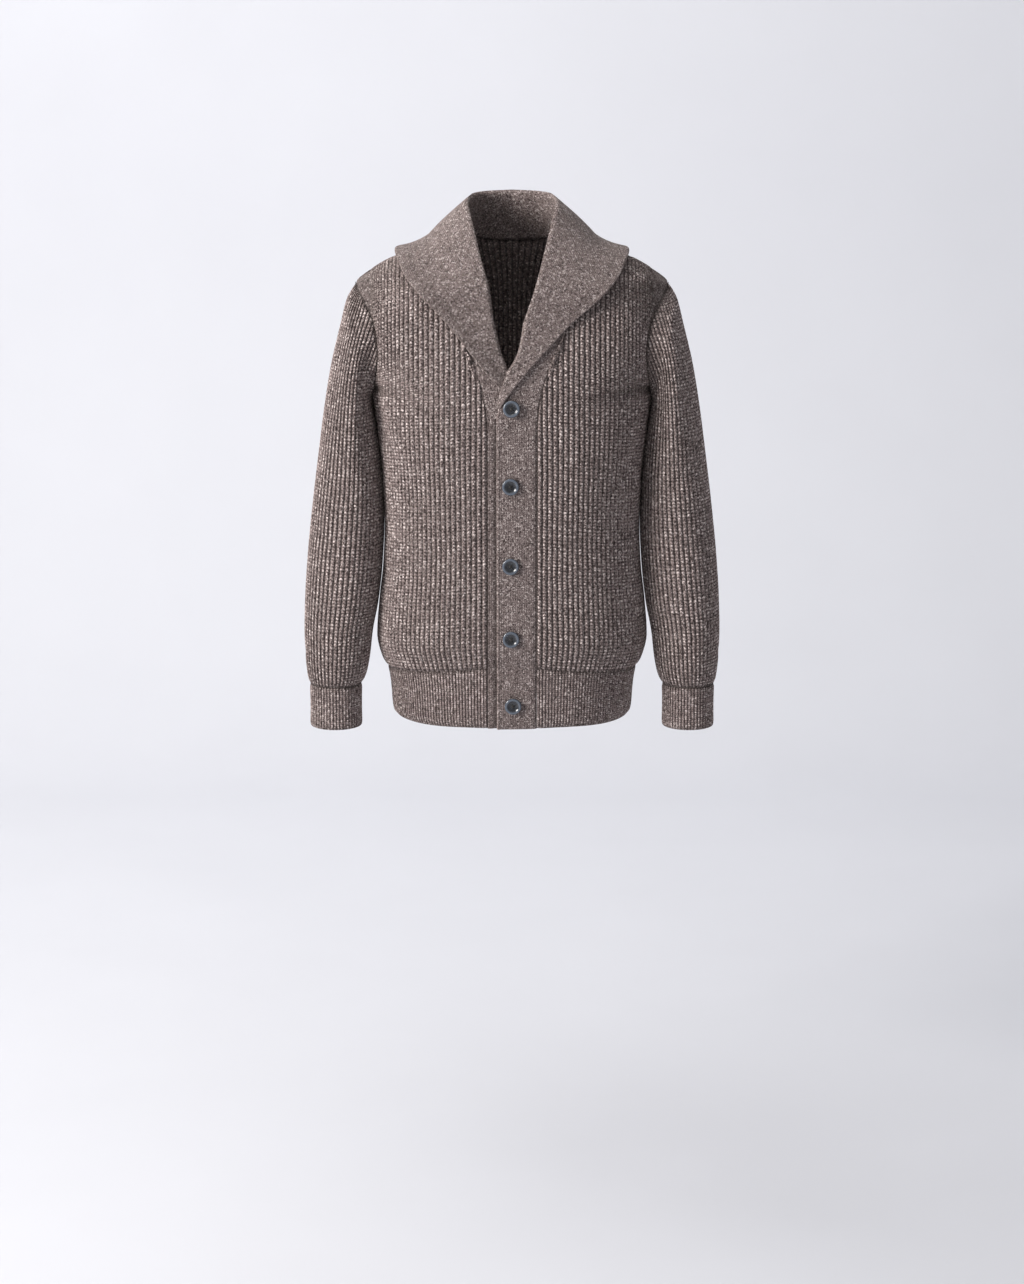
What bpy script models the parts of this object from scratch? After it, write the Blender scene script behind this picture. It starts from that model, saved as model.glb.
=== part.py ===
"""Shawl collar cardigan, worn shape, hollow.

Frame: metres, +Z up. The origin is the middle of the neck at the height where the shoulder
seams meet the neckline. The front faces -Y and the wearer's left arm is on +X.
Each knitted piece is one closed wall between an outer surface and the same surface moved in.
"""

import math

import bmesh
import bpy
import numpy as np

OBJECT_NAME = "shawl_collar_cardigan"

# Knit and seams
KNIT = 0.0035  # wall of the ribbed pieces
BAND_KNIT = 0.0045  # wall of the collar and the front bands, which are denser
SEAM = 0.0003  # gap between neighbouring pieces
ROUNDNESS = 2.35  # exponent of the level sections of the body: 2 is an ellipse

# Front bands
BAND_SEAM_X = 0.0338  # where a band joins its front
OVER_EDGE_X = -0.0208  # free edge of the band on top
UNDER_EDGE_X = 0.0150  # free edge of the band beneath
OVER_STEP = 0.0022  # how far the top band's free edge stands off the body
UNDER_SHOWING = 0.0118  # width of the band beneath that shows beside the top one

# Buttons
BUTTONS = (
    # x, height, level of the cloth under it
    (-0.0008, -0.2236, 0.0046),
    (-0.0020, -0.3284, 0.0015),
    (-0.0020, -0.4376, 0.0015),
    (-0.0014, -0.5384, 0.0015),
    (0.0014, -0.6345, 0.0015),
)
BUTTON_RADIUS = 0.0115
BUTTON_THICKNESS = 0.0042

# Rib bands at the bottom
HEM_TOP = -0.5815
HEM_SIDE = -0.5980  # the hem's seam hangs lower at the side seams
HEM_EASE = 0.0001  # more gap along that slanted seam
HEM_BOTTOM = -0.6690
CUFF_TOP = -0.6210
CUFF_BOTTOM = -0.6810

YARN_COLOUR = (0.235, 0.185, 0.170)
YARN_ROUGHNESS = 0.9
BUTTON_COLOUR = (0.012, 0.013, 0.016)
BUTTON_ROUGHNESS = 0.25

# Level sections of the body, hem to neck
BODY = np.array([
    # height, half width, front depth, back depth
    (-0.6690, 0.1610, 0.1070, 0.0990),
    (-0.6600, 0.1665, 0.1105, 0.1025),
    (-0.6250, 0.1690, 0.1130, 0.1050),
    (-0.6010, 0.1730, 0.1142, 0.1062),
    (-0.5830, 0.1825, 0.1150, 0.1070),
    (-0.5700, 0.1865, 0.1200, 0.1130),
    (-0.5480, 0.1880, 0.1245, 0.1160),
    (-0.5150, 0.1850, 0.1250, 0.1140),
    (-0.4700, 0.1795, 0.1250, 0.1100),
    (-0.4200, 0.1765, 0.1260, 0.1070),
    (-0.3700, 0.1755, 0.1275, 0.1080),
    (-0.3200, 0.1785, 0.1290, 0.1120),
    (-0.2650, 0.1845, 0.1290, 0.1170),
    (-0.2150, 0.1900, 0.1275, 0.1200),
    (-0.1750, 0.1990, 0.1235, 0.1200),
    (-0.1350, 0.2100, 0.1160, 0.1175),
    (-0.1000, 0.2160, 0.1060, 0.1120),
    (-0.0850, 0.2160, 0.1005, 0.1085),
    (-0.0685, 0.2130, 0.0930, 0.1035),
    (-0.0590, 0.2070, 0.0880, 0.1000),
    (-0.0500, 0.1945, 0.0825, 0.0965),
    (-0.0400, 0.1730, 0.0755, 0.0930),
    (-0.0250, 0.1390, 0.0630, 0.0870),
    (-0.0100, 0.1060, 0.0500, 0.0790),
    (0.0000, 0.0850, 0.0400, 0.0700),
])

# Neckline on the body, from the top of the button band to the shoulder seam
NECKLINE = np.array([
    # x, height
    (0.0640, -0.1450),
    (0.0730, -0.1150),
    (0.0800, -0.0820),
    (0.0850, -0.0450),
    (0.0865, -0.0200),
    (0.0850, 0.0000),
])
BACK_NECK = np.array([
    # x, height
    (0.0000, -0.0150),
    (0.0300, -0.0135),
    (0.0600, -0.0080),
    (0.0790, -0.0020),
    (0.0850, 0.0000),
])
SHOULDER_TIP = -0.0685

# Rows of a front, from the hem to the shoulder. Each runs from the band seam to the side
# seam, the armhole or the shoulder seam.
FRONT_ROWS = np.array([
    # band seam x, height, outer edge y, height
    (BAND_SEAM_X, HEM_TOP, 0.0000, HEM_SIDE),
    (BAND_SEAM_X, -0.5700, 0.0000, -0.5860),
    (BAND_SEAM_X, -0.5480, 0.0000, -0.5560),
    (BAND_SEAM_X, -0.5150, 0.0000, -0.5100),
    (BAND_SEAM_X, -0.4650, 0.0000, -0.4550),
    (BAND_SEAM_X, -0.4100, 0.0000, -0.3950),
    (BAND_SEAM_X, -0.3550, 0.0000, -0.3350),
    (BAND_SEAM_X, -0.3050, 0.0000, -0.2750),
    (BAND_SEAM_X, -0.2600, 0.0000, -0.2180),
    (0.0358, -0.2280, -0.0430, -0.1980),
    (0.0410, -0.2020, -0.0650, -0.1600),
    (0.0475, -0.1810, -0.0650, -0.1200),
    (0.0530, -0.1670, -0.0430, -0.0850),
    (0.0575, -0.1580, 0.0000, SHOULDER_TIP),
    (0.0610, -0.1510, 0.0000, -0.0440),
])

# Rows of the back, from the hem to the armhole tops. Each runs from the middle to the edge.
BACK_ROWS = np.array([
    # middle height, outer edge y, height
    (HEM_TOP, 0.0000, HEM_SIDE),
    (-0.5700, 0.0000, -0.5860),
    (-0.5480, 0.0000, -0.5560),
    (-0.5100, 0.0000, -0.5100),
    (-0.4550, 0.0000, -0.4550),
    (-0.3950, 0.0000, -0.3950),
    (-0.3350, 0.0000, -0.3350),
    (-0.2750, 0.0000, -0.2750),
    (-0.2180, 0.0000, -0.2180),
    (-0.1900, 0.0450, -0.1980),
    (-0.1500, 0.0680, -0.1600),
    (-0.1080, 0.0680, -0.1200),
    (-0.0620, 0.0450, -0.0850),
])

# Rings of a sleeve, from the armhole to the cuff
SLEEVE_RINGS = np.array([
    # outer x, outer height, inner x, inner height, y of the middle, half depth
    (0.2235, -0.0880, 0.1925, -0.2270, 0.0010, 0.0740),
    (0.2340, -0.1270, 0.1908, -0.2420, 0.0010, 0.0745),
    (0.2465, -0.1780, 0.1862, -0.2680, 0.0000, 0.0725),
    (0.2565, -0.2350, 0.1821, -0.3030, -0.0010, 0.0695),
    (0.2655, -0.3000, 0.1786, -0.3480, -0.0030, 0.0660),
    (0.2745, -0.3700, 0.1777, -0.3980, -0.0070, 0.0620),
    (0.2820, -0.4400, 0.1803, -0.4520, -0.0120, 0.0585),
    (0.2862, -0.5000, 0.1864, -0.5060, -0.0180, 0.0555),
    (0.2875, -0.5450, 0.1945, -0.5480, -0.0230, 0.0530),
    (0.2865, -0.5800, 0.1985, -0.5820, -0.0265, 0.0500),
    (0.2842, -0.6050, 0.2030, -0.6050, -0.0285, 0.0450),
    (0.2812, CUFF_TOP, 0.2095, CUFF_TOP, -0.0295, 0.0365),
])
CUFF_RINGS = np.array([
    # outer x, outer height, inner x, inner height, y of the middle, half depth
    (0.2808, CUFF_TOP, 0.2100, CUFF_TOP, -0.0295, 0.0350),
    (0.2806, -0.6500, 0.2102, -0.6500, -0.0305, 0.0345),
    (0.2812, CUFF_BOTTOM, 0.2098, CUFF_BOTTOM, -0.0315, 0.0352),
])

# Stations of the collar on the front, from the band up. The seam is a share of the way along
# the neckline. The roll is the fold, and the edge is the free edge of the part folded down.
# A level is how far the wall's middle stands off the body.
COLLAR_OVER = np.array([
    # seam, roll x, height, level, edge x, height, level
    (0.000, -0.0150, -0.2600, -0.0001, -0.0208, -0.2600, 0.0000),
    (0.065, -0.0162, -0.2370, 0.0002, -0.0207, -0.2370, 0.0006),
    (0.130, -0.0168, -0.2120, 0.0016, -0.0088, -0.2130, 0.0050),
    (0.200, -0.0085, -0.1830, 0.0030, 0.0130, -0.1850, 0.0054),
    (0.265, 0.0080, -0.1510, 0.0040, 0.0455, -0.1480, 0.0050),
    (0.345, 0.0175, -0.1110, 0.0060, 0.0820, -0.1110, 0.0048),
])
COLLAR_UNDER = np.array([
    # seam, roll x, height, level, edge x, height, level
    (0.000, -0.0100, -0.2600, -0.0060, -0.0150, -0.2600, -0.0062),
    (0.065, -0.0110, -0.2350, -0.0058, -0.0060, -0.2350, -0.0038),
    (0.130, -0.0080, -0.2080, -0.0058, 0.0060, -0.2080, -0.0012),
    (0.200, 0.0030, -0.1830, -0.0030, 0.0270, -0.1860, 0.0040),
    (0.265, 0.0165, -0.1480, 0.0020, 0.0560, -0.1505, 0.0048),
    (0.345, 0.0250, -0.1110, 0.0055, 0.0880, -0.1120, 0.0048),
])
# Stations round the neck, from the front to the middle of the back
COLLAR_NECK = np.array([
    # seam, roll x, y, height, edge x, y, height, hollow
    (0.470, 0.0300, -0.1080, -0.0690, 0.1180, -0.1030, -0.0800, 0.0000),
    (0.590, 0.0420, -0.0830, -0.0250, 0.1420, -0.0730, -0.0550, 0.0020),
    (0.670, 0.0535, -0.0450, 0.0180, 0.1500, -0.0330, -0.0430, 0.0050),
    (0.740, 0.0592, -0.0090, 0.0405, 0.1470, 0.0150, -0.0430, 0.0060),
    (0.820, 0.0540, 0.0290, 0.0475, 0.1290, 0.0600, -0.0440, 0.0060),
    (0.910, 0.0320, 0.0530, 0.0500, 0.0780, 0.0930, -0.0470, 0.0050),
    (1.000, 0.0000, 0.0620, 0.0510, 0.0000, 0.1010, -0.0490, 0.0050),
])
STAND_TURN = 0.6  # share of the way from the seam to the roll where the collar still lies flat
FALL_TURN = 0.4  # share of the way from the roll to the edge where the fall bends
FALL_CLEAR = 0.0058  # least level of the fall's middle over the body, reached by these shares
FALL_CLEAR_SHARES = (0.2, 0.4)

# Facets. Stops are rows of the tables, each with the facets that lead up to it.
FRONT_STOPS = ((8, 9), (13, 9), (15, 3))
BACK_STOPS = ((8, 9), (13, 9))
SLEEVE_STOPS = ((12, 13),)
CUFF_STOPS = ((2, 2),)
TIP_ROW = 13
FRONT_ACROSS = 8
BACK_NECK_ACROSS = 4
BACK_SHOULDER_ACROSS = 6
COLLAR_ACROSS = 8
BAND_ACROSS = 3
HEM_FACETS = 2
BUTTON_SIDES = 16
LINE_SAMPLES = 120


def smooth(places, values, at):
    """Cubic curve through the values that never overshoots them. The places rise."""
    places = np.asarray(places, float)
    values = np.asarray(values, float)
    at = np.asarray(at, float)
    steps = np.diff(places).reshape((-1,) + (1,) * (values.ndim - 1))
    rises = np.diff(values, axis=0) / steps
    before = rises[:-1]
    after = rises[1:]
    turning = before * after <= 0
    total = np.where(turning, 1.0, before + after)
    middle = np.where(turning, 0.0, 2 * before * after / total)
    slopes = np.concatenate([rises[:1], middle, rises[-1:]])
    low = np.clip(np.searchsorted(places, at) - 1, 0, len(places) - 2)
    share = (at - places[low]) / (places[low + 1] - places[low])
    share = share.reshape(share.shape + (1,) * (values.ndim - 1))
    step = steps[low] if values.ndim > 1 else np.diff(places)[low]
    square = share**2
    cube = share**3
    return (
        (2 * cube - 3 * square + 1) * values[low]
        + (cube - 2 * square + share) * step * slopes[low]
        + (3 * square - 2 * cube) * values[low + 1]
        + (cube - square) * step * slopes[low + 1]
    )


def level_sizes(height):
    """Half width, front depth and back depth of the body at a height."""
    height = np.clip(height, BODY[0, 0], BODY[-1, 0])
    return [smooth(BODY[:, 0], BODY[:, column], height) for column in (1, 2, 3)]


def body_depth(x, height, side):
    """y of the body at x and a height, on the front (side -1) or the back (side 1)."""
    width, front, back = level_sizes(height)
    share = np.clip(np.abs(x) / width, 0, 1)
    depth = front if side < 0 else back
    return side * depth * (1 - share**ROUNDNESS) ** (1 / ROUNDNESS)


def body_width(y, height):
    """x of the body's left half at y and a height."""
    width, front, back = level_sizes(height)
    share = np.clip(abs(y) / (front if y < 0 else back), 0, 1)
    return width * (1 - share**ROUNDNESS) ** (1 / ROUNDNESS)


def body_slope(points):
    """Outward slope of the body at each point, and how far past the body's surface it is."""
    x, y, height = np.moveaxis(points, -1, 0)
    step = 0.0005
    width, front, back = level_sizes(height)
    wider, deeper, rounder = [
        (above - below) / (2 * step)
        for above, below in zip(level_sizes(height + step), level_sizes(height - step))
    ]
    depth = np.where(y < 0, front, back)
    deepening = np.where(y < 0, deeper, rounder)
    across = np.abs(x) / width
    through = np.abs(y) / depth
    slope = np.stack(
        [
            np.sign(x) * across ** (ROUNDNESS - 1) / width,
            np.sign(y) * through ** (ROUNDNESS - 1) / depth,
            -(across**ROUNDNESS * wider / width + through**ROUNDNESS * deepening / depth),
        ],
        axis=-1,
    )
    slope *= ROUNDNESS
    past = across**ROUNDNESS + through**ROUNDNESS - 1
    return slope, past / np.maximum(np.linalg.norm(slope, axis=-1), 1e-6)


def outward(points):
    """Unit normals of the body at points on or near it."""
    slope, _ = body_slope(points)
    return slope / np.linalg.norm(slope, axis=-1, keepdims=True)


def along(line, shares):
    """Points at shares of the length of a line of points."""
    steps = np.linalg.norm(np.diff(line, axis=0), axis=1)
    way = np.concatenate([[0], np.cumsum(steps)])
    way /= way[-1]
    return np.stack([np.interp(shares, way, line[:, axis]) for axis in range(3)], axis=-1)


def loft(rows, stops):
    """Rows along the smooth surface through the given rows, with each stop's row among them."""
    rows = np.asarray(rows)
    steps = np.linalg.norm(np.diff(rows, axis=0), axis=2).mean(axis=1)
    way = np.concatenate([[0], np.cumsum(steps)])
    places = [np.zeros(1)]
    start = 0
    for row, facets in stops:
        places.append(np.linspace(way[start], way[row], facets + 1)[1:])
        start = row
    return smooth(way, rows, np.concatenate(places))


def body_row(start, end, side):
    """Line on the body from one (x, height) to another, straight as seen from the front."""
    ease = np.sin(np.linspace(0, math.pi / 2, LINE_SAMPLES))
    x = start[0] + (end[0] - start[0]) * ease
    height = start[1] + (end[1] - start[1]) * ease
    return np.stack([x, body_depth(x, height, side), height], axis=-1)


def body_line(corners, side):
    """Smooth line on the body through (x, height) corners."""
    at = np.linspace(0, len(corners) - 1, LINE_SAMPLES)
    x, height = smooth(np.arange(len(corners)), corners, at).T
    return np.stack([x, body_depth(x, height, side), height], axis=-1)


def front_lines():
    """Lines across the wearer's left front, from the band or neckline to the outer edge."""
    lines = [
        body_row((seam_x, seam_height), (body_width(edge_y, edge_height), edge_height), -1)
        for seam_x, seam_height, edge_y, edge_height in FRONT_ROWS
    ]
    return lines + [body_line(NECKLINE, -1)]


def back_lines(shoulder):
    """Lines across the left half of the back, from the middle to the outer edge."""
    lines = [
        body_row((0, middle_height), (body_width(edge_y, edge_height), edge_height), 1)
        for middle_height, edge_y, edge_height in BACK_ROWS
    ]
    return lines + [np.concatenate([body_line(BACK_NECK, 1)[:-1], shoulder])]


def along_shoulder(fronts):
    """The shoulder seam, from the tip to the neck, as the top of a front's outer edge."""
    edge = loft([along(line, [1]) for line in fronts], ((TIP_ROW, 1), (len(fronts) - 1, 80)))
    return edge[1:, 0]


def whole(half):
    """A grid of the wearer's left half of the back, from the middle out, made both halves."""
    return np.concatenate([half[:, ::-1], mirrored(half)[:, ::-1][:, 1:]], axis=1)


def surface(lines, shares, stops):
    """Grid of points over a set of lines, at shares of each line's length."""
    return loft([along(line, shares) for line in lines], stops)


def mirrored(grid):
    """The same grid on the other side of the body, with its points in the opposite order."""
    return grid[:, ::-1] * np.array((-1, 1, 1))


def drawn_in(grid, sides):
    """The grid with its outer points moved in by half a seam on the named sides."""
    grid = grid.copy()
    for side in sides:
        view = {
            "start": grid,
            "end": grid[::-1],
            "left": grid.transpose(1, 0, 2),
            "right": grid.transpose(1, 0, 2)[::-1],
        }[side]
        inward = view[1] - view[0]
        view[0] += inward / np.linalg.norm(inward, axis=1, keepdims=True) * SEAM / 2
    return grid


def grid_normals(grid, ring=False):
    """Unit normals of a grid of points, from its neighbours. A ring closes across."""
    up = np.gradient(grid, axis=0)
    if ring:
        over = np.roll(grid, -1, axis=1) - np.roll(grid, 1, axis=1)
    else:
        over = np.gradient(grid, axis=1)
    normals = np.cross(over, up)
    return normals / np.linalg.norm(normals, axis=-1, keepdims=True)


def wall(name, outer, inner, ring=False):
    """Closed wall between two grids of points. A ring closes across each row."""
    rows, columns = outer.shape[:2]
    mesh = bmesh.new()
    faces = [
        [[mesh.verts.new(point) for point in row] for row in grid] for grid in (outer, inner)
    ]
    spans = columns if ring else columns - 1
    for layer, flip in zip(faces, (False, True)):
        for row in range(rows - 1):
            for column in range(spans):
                beside = (column + 1) % columns
                corner = [
                    layer[row][column],
                    layer[row][beside],
                    layer[row + 1][beside],
                    layer[row + 1][column],
                ]
                mesh.faces.new(corner[::-1] if flip else corner)
    out, within = faces
    for column in range(spans):
        beside = (column + 1) % columns
        mesh.faces.new((within[0][column], within[0][beside], out[0][beside], out[0][column]))
        mesh.faces.new(
            (out[-1][column], out[-1][beside], within[-1][beside], within[-1][column])
        )
    if not ring:
        for row in range(rows - 1):
            mesh.faces.new((out[row][0], out[row + 1][0], within[row + 1][0], within[row][0]))
            mesh.faces.new(
                (within[row][-1], within[row + 1][-1], out[row + 1][-1], out[row][-1])
            )
    bmesh.ops.recalc_face_normals(mesh, faces=mesh.faces)
    data = bpy.data.meshes.new(name)
    mesh.to_mesh(data)
    mesh.free()
    data.shade_smooth()
    data.set_sharp_from_angle(angle=math.radians(50))
    return bpy.data.objects.new(name, data)


def body_wall(name, grid, thickness=KNIT):
    """Wall of cloth under a grid of points on the body."""
    return wall(name, grid, grid - outward(grid) * thickness)


def level_point(x, height, level):
    """Point at a level over the body's front."""
    point = np.array([x, body_depth(x, height, -1), height])
    return point + outward(point[None])[0] * level


def front_stations(table):
    """Seam share, roll, edge and hollow of each station of a table of front stations."""
    return [
        (share, level_point(rx, rz, rl), level_point(ex, ez, el), 0.0)
        for share, rx, rz, rl, ex, ez, el in table
    ]


def neck_stations():
    """Seam share, roll, edge and hollow of each station round the neck."""
    return [(row[0], row[1:4], row[4:7], row[7]) for row in COLLAR_NECK]


def collar_row(station, seam):
    """Points across the collar's middle at a station, from the seam over the roll to the edge."""
    share, roll, edge, hollow = station
    start = along(seam, [share])[0]
    start = start - outward(start[None])[0] * BAND_KNIT / 2
    flat = start + (roll - start) * STAND_TURN
    fall = roll + (edge - roll) * FALL_TURN
    if hollow:
        aside = np.cross(np.cross(roll - start, edge - roll), edge - roll)
        fall = fall - aside / np.linalg.norm(aside) * hollow
    corners = np.array([start, flat, roll, fall, edge])
    line = smooth(np.arange(5), corners, np.linspace(0, 4, LINE_SAMPLES + 1))
    middle = LINE_SAMPLES // 2
    shares = np.linspace(0, 1, COLLAR_ACROSS // 2 + 1)
    stand = along(line[: middle + 1], shares)
    return np.concatenate([stand, along(line[middle:], shares)[1:]])


def lifted(grid, shares):
    """The collar's grid with its fall moved clear of the body, from the front turn upwards."""
    grid = grid.copy()
    fall = grid[:, COLLAR_ACROSS // 2 :]
    slope, over = body_slope(fall)
    slope /= np.linalg.norm(slope, axis=-1, keepdims=True)
    clear = np.interp(shares, FALL_CLEAR_SHARES, (0, FALL_CLEAR))[:, None]
    short = np.clip(clear - over, 0, None) * (fall[..., 2] < 0) * (clear > 0)
    fall += slope * short[..., None]
    return grid


def share_of(points, line):
    """How far along a line each of its points is, as a share of the line's length."""
    steps = np.linalg.norm(np.diff(line, axis=0), axis=1)
    way = np.concatenate([[0], np.cumsum(steps)])
    near = np.linalg.norm(points[:, None] - line[None], axis=2).argmin(axis=1)
    return way[near] / way[-1]


def collar_half(front_table, seam):
    """Grid of the middle of half of the collar, with a row at each point of the neckline."""
    stations = front_stations(front_table) + neck_stations()
    rows = [collar_row(station, seam) for station in stations]
    shares = share_of(seam, seam)
    grid = smooth([station[0] for station in stations], rows, shares)
    grid[:, 0] = seam - outward(seam) * BAND_KNIT / 2
    return lifted(grid, shares)


def collar(seam):
    """The shawl collar: a stand up to the roll and a fall down to the free edge."""
    over = collar_half(COLLAR_OVER, seam)
    under = collar_half(COLLAR_UNDER, seam) * np.array((-1, 1, 1))
    grid = np.concatenate([over, under[-2::-1]])
    normals = grid_normals(grid)
    normals[:, 0] = outward(grid[:, 0])
    grid = drawn_in(grid, ("start", "end", "left"))
    half = normals * BAND_KNIT / 2
    return wall("collar", grid + half, grid - half)


def over_step(x):
    """How far the top band stands off the body at x: nothing at its seam."""
    return OVER_STEP * (BAND_SEAM_X - x) / (BAND_SEAM_X - OVER_EDGE_X)


def under_step(x):
    """How far the band beneath stands off the body at x, measured from its own seam side."""
    lapped = np.clip((BAND_SEAM_X - x) / UNDER_SHOWING, 0, 1)
    beneath = over_step(-np.minimum(x, -OVER_EDGE_X)) - BAND_KNIT - 2 * SEAM
    return beneath * lapped**2 * (3 - 2 * lapped)


def band(name, places, step, side, heights):
    """A front band over x places: side 1 is the wearer's left, whose band lies on top."""
    rows = [[(x, body_depth(x, height, -1), height) for x in places] for height in heights]
    grid = np.array(rows)
    grid = grid + outward(grid) * step(grid[..., 0])[..., None]
    grid = drawn_in(grid, ("right", "end"))
    if side < 0:
        grid = mirrored(grid)
    return body_wall(name, grid, BAND_KNIT)


def over_places():
    """Places across the top band, from its free edge to its seam."""
    return np.linspace(OVER_EDGE_X, BAND_SEAM_X, BAND_ACROSS + 1)


def under_places():
    """Places across the band beneath, from its free edge to its seam, as on the left side."""
    drop = BAND_SEAM_X - UNDER_SHOWING
    showing = np.linspace(drop, BAND_SEAM_X, BAND_ACROSS)
    return np.concatenate([[-UNDER_EDGE_X, (drop - UNDER_EDGE_X) / 2], showing])


def rib_hem(line, shares):
    """Grid of the rib hem below a line of the body, from the hem edge up to its seam."""
    rises = np.linspace(0, 1, HEM_FACETS + 1)
    side = np.sign(line[:, 1].mean())
    rows = []
    for rise in rises:
        height = HEM_BOTTOM + (HEM_TOP - HEM_EASE - HEM_BOTTOM) * rise
        side_height = HEM_BOTTOM + (HEM_SIDE - HEM_EASE - HEM_BOTTOM) * rise
        end = (body_width(0, side_height), side_height)
        rows.append(body_row((line[0, 0], height), end, side))
    return np.array([along(row, shares) for row in rows])


def sleeve_ring(row, sides):
    """Ring of a sleeve: from its outer side, round by the front."""
    outer_x, outer_height, inner_x, inner_height, middle_y, half_depth = row
    outer = np.array((outer_x, middle_y, outer_height))
    inner = np.array((inner_x, middle_y, inner_height))
    turn = np.linspace(0, 2 * math.pi, sides, endpoint=False)[:, None]
    middle = (outer + inner) / 2
    return middle + (outer - inner) / 2 * np.cos(turn) - np.array((0, half_depth, 0)) * np.sin(turn)


def tube(name, grid, side):
    """Wall of a sleeve or a cuff, on the wearer's left (side 1) or right (side -1)."""
    grid = drawn_in(grid, ("start", "end"))
    normals = grid_normals(grid, ring=True)
    middle = grid.mean(axis=1, keepdims=True)
    facing = np.sign(((grid - middle) * normals).sum(axis=-1).mean())
    inner = grid - normals * facing * KNIT
    flip = np.array((side, 1, 1))
    return wall(name, grid * flip, inner * flip, ring=True)


def button_profile():
    """Half section of a button: a raised rim round a shallow dish, flat beneath."""
    radius, thick = BUTTON_RADIUS, BUTTON_THICKNESS
    return (
        (0.0, thick * 0.50),
        (radius * 0.62, thick * 0.55),
        (radius * 0.74, thick * 0.95),
        (radius * 0.90, thick),
        (radius, thick * 0.72),
        (radius * 0.96, thick * 0.25),
        (radius * 0.70, 0.0),
        (0.0, 0.0),
    )


def button(name, x, height, level):
    """A sewn button, facing out from the cloth under it."""
    mesh = bmesh.new()
    points = [mesh.verts.new((radius, 0, rise)) for radius, rise in button_profile()]
    for first, second in zip(points, points[1:]):
        mesh.edges.new((first, second))
    data = bpy.data.meshes.new(name)
    mesh.to_mesh(data)
    mesh.free()
    part = bpy.data.objects.new(name, data)
    turned = part.modifiers.new("turned", "SCREW")
    turned.steps = BUTTON_SIDES
    turned.render_steps = BUTTON_SIDES
    turned.use_merge_vertices = True
    turned.merge_threshold = 0.0001
    place = level_point(x, height, 0)
    out = outward(place[None])[0]
    part.location = place + out * (level + SEAM)
    part.rotation_euler = (math.acos(out[2]), 0, math.atan2(out[1], out[0]) + math.pi / 2)
    return part


def coloured(part, colour, roughness):
    """Gives a part its own material."""
    material = bpy.data.materials.new(part.name)
    material.use_nodes = True
    shader = material.node_tree.nodes["Principled BSDF"]
    shader.inputs["Base Color"].default_value = (*colour, 1)
    shader.inputs["Roughness"].default_value = roughness
    shader.inputs["Metallic"].default_value = 0
    part.data.materials.append(material)
    return part


def build():
    """All the pieces of the cardigan."""
    fronts = front_lines()
    across = np.linspace(0, 1, FRONT_ACROSS + 1)
    front = surface(fronts, across, FRONT_STOPS)
    underarm = FRONT_STOPS[0][1]
    tip = underarm + FRONT_STOPS[1][1]

    shoulder = along_shoulder(fronts)
    backs = back_lines(shoulder[::-1])
    neck_share = share_of(shoulder[-1:], backs[-1])[0]
    shares = np.concatenate([
        np.linspace(0, neck_share, BACK_NECK_ACROSS + 1),
        np.linspace(neck_share, 1, BACK_SHOULDER_ACROSS + 1)[1:],
    ])
    half = surface(backs, shares, BACK_STOPS)
    loop = np.concatenate([front[tip:underarm:-1, -1], half[underarm:tip, -1]])
    rings = [loop] + [sleeve_ring(row, len(loop)) for row in SLEEVE_RINGS]
    sleeve = loft(rings, SLEEVE_STOPS)
    cuff = loft([sleeve_ring(row, len(loop)) for row in CUFF_RINGS], CUFF_STOPS)

    hem = rib_hem(fronts[0], across)
    hem_half = rib_hem(backs[0], shares)
    back = whole(half)
    hem_back = whole(hem_half)
    band_heights = np.concatenate([hem[:-1, 0, 2], front[: underarm + 1, 0, 2]])
    seam = np.concatenate([
        front[underarm:, 0],
        front[-1, 1:],
        half[-1, BACK_NECK_ACROSS - 1 :: -1],
    ])

    body_edges = ("left", "right", "start", "end")
    hem_edges = ("left", "right", "end")
    front = drawn_in(front, body_edges)
    hem = drawn_in(hem, hem_edges)
    knit = [
        body_wall("front_left", front),
        body_wall("front_right", mirrored(front)),
        body_wall("back", drawn_in(back, body_edges)),
        tube("sleeve_left", sleeve, 1),
        tube("sleeve_right", sleeve, -1),
        tube("cuff_left", cuff, 1),
        tube("cuff_right", cuff, -1),
        body_wall("hem_left", hem),
        body_wall("hem_right", mirrored(hem)),
        body_wall("hem_back", drawn_in(hem_back, hem_edges)),
        band("band_over", over_places(), over_step, 1, band_heights),
        band("band_under", under_places(), under_step, -1, band_heights),
        collar(seam),
    ]
    buttons = [
        button(f"button_{number}", x, height, level)
        for number, (x, height, level) in enumerate(BUTTONS, start=1)
    ]
    parts = [coloured(part, YARN_COLOUR, YARN_ROUGHNESS) for part in knit]
    return parts + [coloured(part, BUTTON_COLOUR, BUTTON_ROUGHNESS) for part in buttons]


def main():
    for item in list(bpy.data.objects):
        bpy.data.objects.remove(item)
    collection = bpy.data.collections.new(OBJECT_NAME)
    bpy.context.scene.collection.children.link(collection)
    for part in build():
        collection.objects.link(part)


main()
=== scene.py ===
"""Shawl collar cardigan: its knitted looks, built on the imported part.

Frame: metres, +Z up. The front faces -Y, the wearer's left arm is on +X and the origin is the
middle of the neck. Every knitted piece is a thin closed shell on the form of its solid.
"""

import math

import bmesh
import bpy
import numpy as np
from bpy.props import FloatProperty, FloatVectorProperty, IntProperty, PointerProperty
from mathutils import Matrix, Vector


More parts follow.
